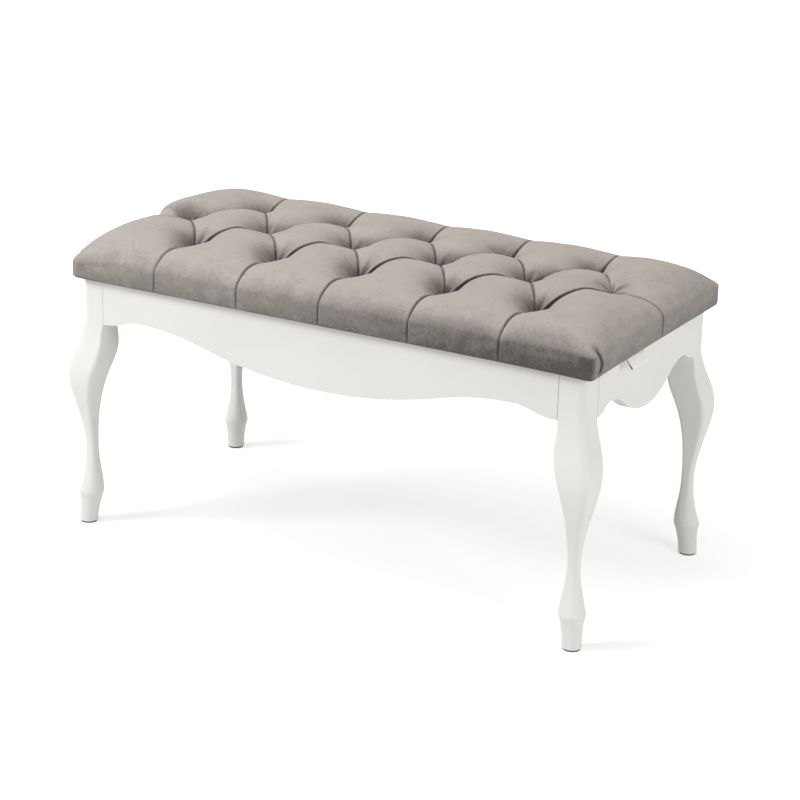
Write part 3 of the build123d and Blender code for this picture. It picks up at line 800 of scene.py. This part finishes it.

# %% [markdown]
# ## Velvet
# The cover is a velvet with a short cut pile. How a pile leans makes it look lighter or darker under light, and here
# that is painted into the colour: cloth that lies level is painted light, cloth that turns to the front, down or
# away is painted darker, and inside tufts and creases the painted shade is darkest. The lamps alone give too little
# of this. So the painted shade is worked out from where the surface faces, and attributes of the mesh say how near
# the next tuft and crease are.

# %% Shade of tufts and creases
# painted shade: crease depths where it starts and is full, its reach beside a crease and round a tuft, and its mask
# value in the tucks
CRISP_DEPTH, DARK_DEPTH, CREASE_REACH = 2.5, 5.0, 0.9
TUFT_REACH = 30.0
TUCK_SHADE = 2.0


def attribute(mesh, name, values):
    """Stores one number for each point; points that came later get 0."""
    padded = np.zeros(len(mesh.vertices))
    padded[:len(values)] = values
    mesh.attributes.new(name, "FLOAT", "POINT").data.foreach_set("value", padded)


# masks of painted shade for creases and tucks
crisp = np.where(fold_depth > CRISP_DEPTH, np.minimum(fold_depth / DARK_DEPTH, 1), 0) * slack()
in_crease = np.maximum(np.exp(-pleat_gap / CREASE_REACH) * crisp, -TUCK_SHADE * tucks() / TUCK_DEPTH)
in_crease *= height > BOTTOM_ROUND / 2 - SAG
# painted shade on the walls round each tuft, fading with the distance from it
near_tuft = np.exp(-(tuft_gap / TUFT_REACH) ** 2) * (flat[:, 2] > WALL)
attribute(cushion_mesh, "in_crease", in_crease)
attribute(cushion_mesh, "near_tuft", near_tuft)
print(int((in_crease > 0.5).sum()), "points in creases,", int((near_tuft > 0.5).sum()), "close to a tuft")

# %% Velvet
# the velvet's colour where it is painted lit and where it is painted in shade, and the tucks' near black painted
# shade
VELVET_PAINTED_LIT, VELVET_PAINTED_SHADED, TUCK_PAINTED_SHADE = "#b6afa8", "#5c5854", "#262321"
SHEEN = "#d9d2cb"
# share of the painted lit colour on the walls and underneath, which get painted shade; it is all painted lit where
# the cloth faces up
PAINTED_LIGHT_ON_WALL, PAINTED_LIGHT_UNDER = 0.58, 0.3
FACING_DOWN, FACING_UP = -0.5, 0.95
# painted shade of the front, which grows to the right along a run in metres, of the rear and of the tufts' rear left
# walls
FRONT_SIDE, FRONT_FACING = Vector((0.35, -0.94, 0.0)), (0.45, 0.95)
FRONT_LEFT_SHADE, FRONT_RIGHT_SHADE, FRONT_SHADE_RUN = 0.07, 0.54, (-0.22, 0.45)
REAR_SHADE, REAR_FACING = 0.55, (0.1, 0.7)
TUFT_SHADE, TUFT_SIDE, TUFT_FACING = 0.8, Vector((0.7, -0.71, 0.0)), (0.05, 0.6)
# painted shade in the creases, and the share of near black painted shade in the tucks
CREASE_SHADE, TUCK_SHARE = 0.7, 0.8
# noise seldom leaves this range
NOISE_RANGE = (0.3, 0.7)
# size in millimetres, detail and strength of what a hand leaves in the pile, of ruffled spots and of the pile itself;
# its hairs are a tenth of a millimetre thick, so the last is drawn coarser, to show at all
PILE = ((26, 3.0, 0.09), (6, 2.0, 0.08), (1.6, 1.0, 0.08))
PILE_GRAIN, PILE_RELIEF = 1.0, 0.25


def pattern(tree, size, detail, stretch=(1, 1, 1)):
    """Noise whose blots are about this many millimetres across, from 0 to 1."""
    place = add(tree, "ShaderNodeTexCoord").outputs["Object"]
    scaled = add(tree, "ShaderNodeVectorMath", (place, stretch), operation="MULTIPLY")
    return add(tree, "ShaderNodeTexNoise", {"Vector": scaled, "Scale": 1 / (size * MM), "Detail": detail})


def velvet_pile_and_painted_shade(tree, in_crease):
    """Share of the painted lit colour: painted light and shade from where the cloth faces and from tufts and creases,
    and the brushed pile's own blots.
    """
    normal = add(tree, "ShaderNodeNewGeometry").outputs["Normal"]
    facing = add(tree, "ShaderNodeSeparateXYZ", [normal]).outputs
    place = add(tree, "ShaderNodeSeparateXYZ", [add(tree, "ShaderNodeTexCoord").outputs["Object"]]).outputs
    # painted light where the cloth faces up, painted shade on the walls and underneath
    lower = add(tree, "ShaderNodeMapRange", (facing["Z"], FACING_DOWN, 0.0, PAINTED_LIGHT_UNDER, PAINTED_LIGHT_ON_WALL))
    upper = add(tree, "ShaderNodeMapRange", (facing["Z"], 0.0, FACING_UP, 0.0, 1 - PAINTED_LIGHT_ON_WALL))
    pile_and_painted_shade = add(tree, "ShaderNodeMath", (lower, upper), operation="ADD")
    ahead = add(tree, "ShaderNodeVectorMath", (normal, FRONT_SIDE), operation="DOT_PRODUCT")
    front = add(tree, "ShaderNodeMapRange", (ahead, *FRONT_FACING))
    to_right = (place["X"], *FRONT_SHADE_RUN, FRONT_LEFT_SHADE, FRONT_RIGHT_SHADE)
    along_front = add(tree, "ShaderNodeMapRange", to_right, interpolation_type="SMOOTHSTEP")
    turned = add(tree, "ShaderNodeVectorMath", (normal, TUFT_SIDE), operation="DOT_PRODUCT")
    hollow = add(tree, "ShaderNodeMapRange", (turned, *TUFT_FACING, 0.0, TUFT_SHADE))
    near_tuft = add(tree, "ShaderNodeAttribute", attribute_name="near_tuft").outputs["Fac"]
    # painted shade: on the front, more to the right; on the rear; on the tufts' walls; in the creases
    shades = [
        add(tree, "ShaderNodeMath", (front, along_front), operation="MULTIPLY"),
        add(tree, "ShaderNodeMapRange", (facing["Y"], *REAR_FACING, 0.0, REAR_SHADE)),
        add(tree, "ShaderNodeMath", (near_tuft, hollow), operation="MULTIPLY"),
        add(tree, "ShaderNodeMath", (in_crease, CREASE_SHADE), operation="MULTIPLY"),
    ]
    for shade in shades:
        pile_and_painted_shade = add(tree, "ShaderNodeMath", (pile_and_painted_shade, shade), operation="SUBTRACT")
    for size, detail, strength in PILE:
        brushed = add(tree, "ShaderNodeMapRange", (pattern(tree, size, detail), *NOISE_RANGE, -strength, strength))
        pile_and_painted_shade = add(tree, "ShaderNodeMath", (pile_and_painted_shade, brushed), operation="ADD")
    return pile_and_painted_shade


def velvet():
    """Cotton velvet with a short cut pile: dull, with a soft sheen at grazing angles, and painted shade near black in
    the tucks.
    """
    material, tree = new_material("cut_pile_velvet")
    in_crease = add(tree, "ShaderNodeAttribute", attribute_name="in_crease").outputs["Fac"]
    pile_and_painted_shade = velvet_pile_and_painted_shade(tree, in_crease)
    shares = {"Factor": pile_and_painted_shade, "A": colour(VELVET_PAINTED_SHADED), "B": colour(VELVET_PAINTED_LIT)}
    cloth = add(tree, "ShaderNodeMix", shares, data_type="RGBA")
    # the tucks get a near black painted shade
    tucked = add(tree, "ShaderNodeMapRange", (in_crease, 1.0, TUCK_SHADE, 0.0, TUCK_SHARE))
    shaded = add(tree, "ShaderNodeMix", {"Factor": tucked, "A": cloth, "B": colour(TUCK_PAINTED_SHADE)}, data_type="RGBA")
    pile = {"Height": pattern(tree, PILE_GRAIN, 2.0), "Distance": PILE_RELIEF * MM, "Strength": 0.5}
    shader = add(tree, "ShaderNodeBsdfPrincipled", {
        "Base Color": shaded, "Roughness": 0.95, "Specular IOR Level": 0.1,
        "Sheen Weight": 0.25, "Sheen Roughness": 0.5, "Sheen Tint": colour(SHEEN),
        "Normal": add(tree, "ShaderNodeBump", pile),
    })
    add(tree, "ShaderNodeOutputMaterial", {"Surface": shader})
    return material


cushion_mesh.materials.append(velvet())
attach(cushion, "root")
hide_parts("seat_cover", "seat_foam")
print("velvet:", len(cushion_mesh.materials[0].node_tree.nodes), "nodes")

# %% [markdown]
# ## Wood, metal and the other materials
# The frame is beech under white lacquer. What the seat hides is bare beech, birch plywood, twine, zinc-plated steel
# and a black cloth. Pictures of wood would need UV maps and would repeat. Noise with a size in millimetres fits
# every piece, and drawn out along one axis it is the grain of wood.

# %% Lacquer and wood
LACQUER_DARK, LACQUER_LIGHT = "#efeeea", "#f4f3ef"
LACQUER_CLOUD, LACQUER_RIPPLE, LACQUER_RELIEF = 160, 6, 0.03
RING_WIDTH, RING_RANGE = 9, (0.35, 0.65)
PORE_WIDTH, PORE_RELIEF = 1.5, 0.1


def lacquer():
    """White lacquer, sprayed on sanded beech: an even satin white with a trace of the spray's ripple."""
    material, tree = new_material("sprayed_satin_lacquer")
    cloud = add(tree, "ShaderNodeMapRange", (pattern(tree, LACQUER_CLOUD, 1.0), *NOISE_RANGE))
    shares = {"Factor": cloud, "A": colour(LACQUER_DARK), "B": colour(LACQUER_LIGHT)}
    ripple = {"Height": pattern(tree, LACQUER_RIPPLE, 1.0), "Distance": LACQUER_RELIEF * MM, "Strength": 0.4}
    shader = add(tree, "ShaderNodeBsdfPrincipled", {
        "Base Color": add(tree, "ShaderNodeMix", shares, data_type="RGBA"),
        "Roughness": 0.42, "Specular IOR Level": 0.4, "Normal": add(tree, "ShaderNodeBump", ripple),
    })
    add(tree, "ShaderNodeOutputMaterial", {"Surface": shader})
    return material


def bare_wood(name, light, dark, stretch):
    """Planed or sanded wood without finish: dull, with rings and open pores drawn out along the grain."""
    material, tree = new_material(name)
    rings = add(tree, "ShaderNodeMapRange", (pattern(tree, RING_WIDTH, 3.0, stretch), *RING_RANGE))
    shares = {"Factor": rings, "A": colour(dark), "B": colour(light)}
    pores = {"Height": pattern(tree, PORE_WIDTH, 1.0, stretch), "Distance": PORE_RELIEF * MM, "Strength": 0.5}
    shader = add(tree, "ShaderNodeBsdfPrincipled", {
        "Base Color": add(tree, "ShaderNodeMix", shares, data_type="RGBA"),
        "Roughness": 0.7, "Normal": add(tree, "ShaderNodeBump", pores),
    })
    add(tree, "ShaderNodeOutputMaterial", {"Surface": shader})
    return material


def plain(name, code, roughness, metallic=0.0, relief=0.05, grain=1.2):
    """One colour with a fine relief; relief and grain are its depth and width in millimetres."""
    material, tree = new_material(name)
    fine = {"Height": pattern(tree, grain, 1.0), "Distance": relief * MM, "Strength": 0.5}
    shader = add(tree, "ShaderNodeBsdfPrincipled", {
        "Base Color": colour(code), "Roughness": roughness, "Metallic": metallic,
        "Normal": add(tree, "ShaderNodeBump", fine),
    })
    add(tree, "ShaderNodeOutputMaterial", {"Surface": shader})
    return material


materials = {
    "lacquered_wood": lacquer(),
    "bare_wood": bare_wood("planed_beech", "#dcc19a", "#c49f6e", (0.15, 0.15, 1.0)),
    "plywood": bare_wood("birch_plywood", "#d8bd94", "#b8966a", (0.1, 1.0, 4.0)),
    # waxed linen: straw-coloured and dull, with a twisted yarn's relief
    "twine": plain("waxed_linen_twine", "#c9b78f", 0.9),
    # steel with a thin plated coat: a cool grey that half mirrors its surroundings
    "zinc_steel": plain("zinc_plated_steel", "#b6b9bc", 0.38, metallic=0.9, relief=0.02),
    # moulded nylon: dark and slightly shiny
    "glide_plastic": plain("moulded_nylon", "#5a5753", 0.5),
    # pressed fibres: nearly black, and quite without shine
    "dust_cloth": plain("non_woven_cloth", "#232325", 0.95, relief=0.15, grain=0.8),
    # woven satin: white with a fine weave, drawn coarser than its threads are, to show at all
    "tag_ribbon": plain("woven_satin_ribbon", "#fdfcf8", 0.6, relief=0.06, grain=0.5),
}
print("materials:", ", ".join(material.name for material in materials.values()))

# %% Give the CAD nodes their materials
node_slots = {
    "leg": "lacquered_wood", "apron": "lacquered_wood", "corner_block": "bare_wood", "apron_dowels": "bare_wood",
    "seat_board": "plywood", "tufting_twines": "twine", "foot_glide": "glide_plastic",
    "corner_block_screws": "zinc_steel", "hanger_bolts": "zinc_steel", "bolt_washers": "zinc_steel",
    "bolt_nuts": "zinc_steel", "seat_screws": "zinc_steel",
}
for name, node in nodes.items():
    matches = [key for key in node_slots if name.startswith(key)]
    if matches:
        node.data.materials.clear()
        node.data.materials.append(materials[node_slots[max(matches, key=len)]])
print("nodes with a material:", sum(bool(node.data.materials) for node in nodes.values()))

# %% [markdown]
# ## Legs and aprons
# The CAD meshes are loose triangles, which shade flat. A finer CAD mesh would still show its facets, so the legs and
# aprons get copies with merged points that shade smoothly. A small bevel eases the aprons' edges, the way sanding
# and lacquer do.

# %% Legs and aprons
SMOOTH_ANGLE, FLAT_ANGLE = math.radians(32), math.radians(0.5)
WELD = 0.001
EASED_EDGE, EASED_STEPS = 1.2, 2


def merged_copy(name, ease):
    """Copy of a CAD node with shared points and smooth shading; ease rounds its sharp edges."""
    shell = bmesh.new()
    shell.from_mesh(nodes[name].data)
    bmesh.ops.remove_doubles(shell, verts=shell.verts, dist=WELD * MM)
    if ease:
        bmesh.ops.dissolve_limit(shell, angle_limit=FLAT_ANGLE, verts=shell.verts, edges=shell.edges)
    for edge in shell.edges:
        edge.smooth = edge.calc_face_angle(math.pi) < SMOOTH_ANGLE
    mesh = bpy.data.meshes.new(f"{name}_dressed")
    shell.to_mesh(mesh)
    shell.free()
    mesh.materials.append(materials["lacquered_wood"])
    copy = link(f"{name}_dressed", mesh)
    if ease:
        rounding = copy.modifiers.new("eased", "BEVEL")
        rounding.width = ease * MM
        rounding.segments = EASED_STEPS
        rounding.limit_method = "ANGLE"
        rounding.angle_limit = SMOOTH_ANGLE
        rounding.harden_normals = True
    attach(copy, "root")
    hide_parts(name)
    return copy


frame_pieces = [merged_copy(name, EASED_EDGE if name.startswith("apron") else 0.0)
                for name in nodes if name.startswith(("leg_", "apron_")) and name != "apron_dowels"]
print("dressed:", ", ".join(piece.name for piece in frame_pieces))

# %% [markdown]
# ## Twines
# A waxed twine holds down each tuft from under the board. The CAD twines all end at one height, but the shown cushion
# dips more at some tufts. New rods would lose the CAD's washers, so a copy of the node has its upper ends moved to
# just under the cover.

# %% Twines
TWINE_REACH, TWINE_COVER = 7.0, 1.5


def fitted_twines():
    """Copy of the CAD twines with their upper ends moved to just under the cushion's skin."""
    mesh = nodes["tufting_twines"].data.copy()
    points = np.zeros(len(mesh.vertices) * 3)
    mesh.vertices.foreach_get("co", points)
    points = points.reshape(-1, 3)
    middle = (points[:, 2].min() + points[:, 2].max()) / 2
    for x, y in tufts:
        near = np.hypot(folded[:, 0] - x, folded[:, 1] - y) < TWINE_REACH
        own = np.hypot(points[:, 0] / MM - x, points[:, 1] / MM - y) < TWINE_REACH
        points[own & (points[:, 2] > middle), 2] = (folded[near, 2].min() - TWINE_COVER) * MM
    mesh.vertices.foreach_set("co", points.ravel())
    mesh.update()
    ends = points[points[:, 2] > middle, 2] / MM
    print("twines end between", ends.min().round(1), ends.max().round(1), "mm")
    return mesh


twines = link("twines", fitted_twines(), smooth=False)
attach(twines, "root")
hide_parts("tufting_twines")

# %% [markdown]
# ## Tag
# A short blank ribbon is folded into a loop, and both of its ends are caught under the cushion's edge. A flat plate
# would have no fold at its foot. So a path is drawn from the side, out from under the cushion, round the fold and
# back, and a thin strip with a slight wave is laid along it.

# %% Tag
TAG_WIDTH, TAG_CENTRE = 55.0, -82.0
TAG_THICKNESS = 0.5
TAG_COLUMNS = 16
# points of the path in X and Z: under the seat, at the cushion's edge and at the fold
TAG_START, TAG_EDGE, TAG_FOOT = (438.0, 412.4), (449.0, 408.3), (458.0, 397.5)
# width of the loop at its fold, shares of it on the way back, and the gap between the layers under the seat
TAG_GAP, TAG_HALFWAY, TAG_NEAR_EDGE, TAG_LAYER = 3.4, 0.9, 0.5, 0.7
TAG_BEND, TAG_BACK_BEND, TAG_BACK_STEP = 1.0, 2.0, (1.5, 0.4)
TAG_WAVE, TAG_WAVES, TAG_WAVE_START = 0.7, 1.1, 0.6
FOLD_STEPS = 8
TAG_SMOOTH = math.radians(50)


def loop_path():
    """The ribbon's middle line in X and Z: out under the cushion, down and out, round the fold and back."""
    start, edge, foot = (np.array(point) for point in (TAG_START, TAG_EDGE, TAG_FOOT))
    ahead = (foot - edge) / np.linalg.norm(foot - edge)
    inward = np.array((ahead[1], -ahead[0]))
    turns = np.linspace(0, np.pi, FOLD_STEPS)[:, None]
    fold = foot + inward * TAG_GAP / 2 * (1 - np.cos(turns)) + ahead * TAG_GAP / 2 * np.sin(turns)
    middle = (edge + foot) / 2
    out = [start, (start + edge) / 2, edge, edge + ahead * TAG_BEND, middle]
    back = [
        middle + inward * TAG_GAP * TAG_HALFWAY,
        edge + ahead * TAG_BACK_BEND + inward * TAG_GAP * TAG_NEAR_EDGE,
        edge - TAG_BACK_STEP + inward * TAG_LAYER,
        start - (0.0, TAG_LAYER),
    ]
    return np.array([*out, *fold, *back])


print("the tag's path has", len(loop_path()), "points")


# %% A strip along a path
def ribbon(path, width, centre, thickness, columns):
    """A closed thin strip along a path in X and Z, with a slight wave across its width."""
    ahead = np.gradient(path, axis=0)
    side = np.stack([ahead[:, 1], -ahead[:, 0]], -1)
    side /= np.linalg.norm(side, axis=1)[:, None]
    across = np.linspace(-0.5, 0.5, columns + 1)
    points = []
    for sign in (0.5, -0.5):
        line = path + side * thickness * sign
        for share in across:
            hang = np.clip((TAG_EDGE[1] - line[:, 1]) / (TAG_EDGE[1] - TAG_FOOT[1]), 0, 1)
            wave = TAG_WAVE * hang * np.sin(2 * np.pi * TAG_WAVES * share + TAG_WAVE_START)
            points.append(np.stack([line[:, 0] + wave, np.full(len(line), centre + share * width), line[:, 1]], -1))
    rows, count = len(path), columns + 1
    index = np.arange(2 * count * rows).reshape(2, count, rows)
    quads = []
    for a, b in (((0, slice(None, -1)), (0, slice(1, None))), ((1, slice(1, None)), (1, slice(None, -1)))):
        first, second = index[a], index[b]
        quads.append(np.stack([first[:, :-1], first[:, 1:], second[:, 1:], second[:, :-1]], -1).reshape(-1, 4))
    for column, flip in ((0, 1), (count - 1, -1)):
        front, back = index[:, column]
        edge = np.stack([front[:-1], back[:-1], back[1:], front[1:]], -1)
        quads.append(edge[:, ::flip])
    for row, flip in ((0, 1), (rows - 1, -1)):
        front, back = index[:, :, row]
        edge = np.stack([front[:-1], front[1:], back[1:], back[:-1]], -1)
        quads.append(edge[:, ::flip])
    return np.concatenate(points), np.concatenate(quads)


# %% Make the tag
tag_path = loop_path()
tag_mesh = make_mesh("tag", *ribbon(tag_path, TAG_WIDTH, TAG_CENTRE, TAG_THICKNESS, TAG_COLUMNS))
shell = bmesh.new()
shell.from_mesh(tag_mesh)
bmesh.ops.recalc_face_normals(shell, faces=shell.faces)
for edge in shell.edges:
    edge.smooth = edge.calc_face_angle(math.pi) < TAG_SMOOTH
shell.to_mesh(tag_mesh)
shell.free()
tag_mesh.materials.append(materials["tag_ribbon"])
tag = link("tag", tag_mesh)
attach(tag, "root")
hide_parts("side_tag")

# %% [markdown]
# ## Dust cover
# A thin black cloth closes the underside. It is stapled along its edges, so it hangs a little in the middle and has
# faint ripples. A cloth simulation would find little more on a sheet that is drawn tight, so a grid is bent by a
# formula and given its thickness.

# %% Dust cover
COVER_LENGTH, COVER_WIDTH, COVER_NOTCH = 828.0, 378.0, 24.0
COVER_CELL = 12.0
COVER_THICKNESS = 0.5
COVER_SAG, COVER_SAG_REACH, COVER_GAP = 1.2, 60.0, 0.1
COVER_RIPPLE, RIPPLE_LENGTH, RIPPLE_WIDTH, RIPPLE_BEND = 0.25, 17.0, 23.0, 40.0


def dust_cover():
    """Grid of the cloth with its corners cut out, sagging in the middle, made into a thin closed sheet."""
    columns, rows = round(COVER_LENGTH / COVER_CELL), round(COVER_WIDTH / COVER_CELL)
    x = np.linspace(-COVER_LENGTH / 2, COVER_LENGTH / 2, columns + 1)
    y = np.linspace(-COVER_WIDTH / 2, COVER_WIDTH / 2, rows + 1)
    grid_x, grid_y = np.meshgrid(x, y, indexing="ij")
    inside_x, inside_y = COVER_LENGTH / 2 - np.abs(grid_x), COVER_WIDTH / 2 - np.abs(grid_y)
    sag = COVER_SAG * (1 - np.exp(-np.minimum(inside_x, inside_y) / COVER_SAG_REACH))
    bent = grid_x / RIPPLE_LENGTH + 2 * np.sin(grid_y / RIPPLE_BEND)
    ripple = COVER_RIPPLE * np.sin(bent) * np.sin(grid_y / RIPPLE_WIDTH)
    z = FRAME_TOP - COVER_THICKNESS / 2 - COVER_GAP - sag - np.abs(ripple)
    index = np.arange(grid_x.size).reshape(grid_x.shape)
    quads = np.stack([index[:-1, :-1], index[1:, :-1], index[1:, 1:], index[:-1, 1:]], -1)
    middle_x = (grid_x[:-1, :-1] + grid_x[1:, 1:]) / 2
    middle_y = (grid_y[:-1, :-1] + grid_y[1:, 1:]) / 2
    kept = (COVER_LENGTH / 2 - np.abs(middle_x) > COVER_NOTCH) | (COVER_WIDTH / 2 - np.abs(middle_y) > COVER_NOTCH)
    points = np.stack([grid_x, grid_y, z], -1).reshape(-1, 3)
    mesh = make_mesh("dust_cover_cloth", points, quads[kept])
    shell = bmesh.new()
    shell.from_mesh(mesh)
    bmesh.ops.delete(shell, geom=[v for v in shell.verts if not v.link_faces], context="VERTS")
    bmesh.ops.solidify(shell, geom=shell.faces[:], thickness=COVER_THICKNESS * MM)
    bmesh.ops.recalc_face_normals(shell, faces=shell.faces)
    shell.to_mesh(mesh)
    shell.free()
    return mesh


cover_mesh = dust_cover()
cover_mesh.materials.append(materials["dust_cloth"])
cover = link("dust_cover_cloth", cover_mesh)
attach(cover, "root")
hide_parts("dust_cover")
print("dust cover:", len(cover_mesh.polygons), "faces")

# %% [markdown]
# ## Staples
# Small steel staples hold the dust cover's edges. A loop in the script could place each one, but Geometry Nodes lay
# them along a path at a spacing, each a little askew, and all their sizes stay inputs of one tree.

# %% Staples
STAPLE_SPACING, STAPLE_INSET = 45.0, 10.0
STAPLE_CROWN, STAPLE_WIRE, STAPLE_TURN = 10.5, 0.7, 0.25
STAPLE_DROP, STAPLE_END = 0.75, 60.0


def staple_tree():
    """Node tree that lays staples along a path; returns it with its inputs by name."""
    group = bpy.data.node_groups.new("staples_along_a_path", "GeometryNodeTree")
    group.interface.new_socket("Geometry", in_out="OUTPUT", socket_type="NodeSocketGeometry")
    group.interface.new_socket("Path", in_out="INPUT", socket_type="NodeSocketGeometry")
    inputs = {name: group.interface.new_socket(name, in_out="INPUT", socket_type="NodeSocketFloat")
              for name in ("Spacing", "Crown", "Wire", "Turn")}
    start = add(group, "NodeGroupInput").outputs
    curve = add(group, "GeometryNodeMeshToCurve", {"Mesh": start["Path"]})
    points = add(group, "GeometryNodeCurveToPoints", {"Curve": curve, "Length": start["Spacing"]}, mode="LENGTH")
    size = add(group, "ShaderNodeCombineXYZ", {"X": start["Crown"], "Y": start["Wire"], "Z": start["Wire"]})
    bar = add(group, "GeometryNodeMeshCube", {"Size": size})
    back = add(group, "ShaderNodeMath", (start["Turn"], -1.0), operation="MULTIPLY")
    limits = {"Min": back, "Max": start["Turn"], "Seed": SEED}
    chance = add(group, "FunctionNodeRandomValue", limits, data_type="FLOAT")
    askew = add(group, "FunctionNodeAxisAngleToRotation", {"Axis": (0, 0, 1), "Angle": chance})
    straight = add(group, "FunctionNodeAlignRotationToVector", {"Vector": points.outputs["Tangent"]}, axis="X")
    turned = add(group, "FunctionNodeRotateRotation", (straight, askew))
    laid = add(group, "GeometryNodeInstanceOnPoints", {"Points": points, "Instance": bar, "Rotation": turned})
    real = add(group, "GeometryNodeRealizeInstances", {"Geometry": laid})
    painted = add(group, "GeometryNodeSetMaterial", {"Geometry": real, "Material": materials["zinc_steel"]})
    add(group, "NodeGroupOutput", {"Geometry": painted})
    return group, inputs


def staple_path():
    """Four straight runs inside the cloth's edges, clear of the cut corners."""
    reach_x, reach_y = COVER_LENGTH / 2 - STAPLE_INSET, COVER_WIDTH / 2 - STAPLE_INSET
    end_x, end_y = COVER_LENGTH / 2 - STAPLE_END, COVER_WIDTH / 2 - STAPLE_END
    level = FRAME_TOP - COVER_THICKNESS - STAPLE_DROP
    points = []
    for side in (-1, 1):
        points += [(-end_x, side * reach_y, level), (end_x, side * reach_y, level)]
        points += [(side * reach_x, -end_y, level), (side * reach_x, end_y, level)]
    mesh = bpy.data.meshes.new("staple_path")
    mesh.from_pydata((np.array(points) * MM).tolist(), [(k, k + 1) for k in range(0, len(points), 2)], [])
    return mesh


group, inputs = staple_tree()
path_object = bpy.data.objects.new("staple_path", staple_path())
scene.collection.objects.link(path_object)
modifier = path_object.modifiers.new("staples", "NODES")
modifier.node_group = group
for name, value in (("Spacing", STAPLE_SPACING * MM), ("Crown", STAPLE_CROWN * MM),
                    ("Wire", STAPLE_WIRE * MM), ("Turn", STAPLE_TURN)):
    modifier[inputs[name].identifier] = value
evaluated = path_object.evaluated_get(bpy.context.evaluated_depsgraph_get())
staple_mesh = bpy.data.meshes.new_from_object(evaluated)
bpy.data.objects.remove(path_object)
staples = link("staples", staple_mesh, smooth=False)
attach(staples, "root")
print("staples:", len(staple_mesh.polygons) // 6)
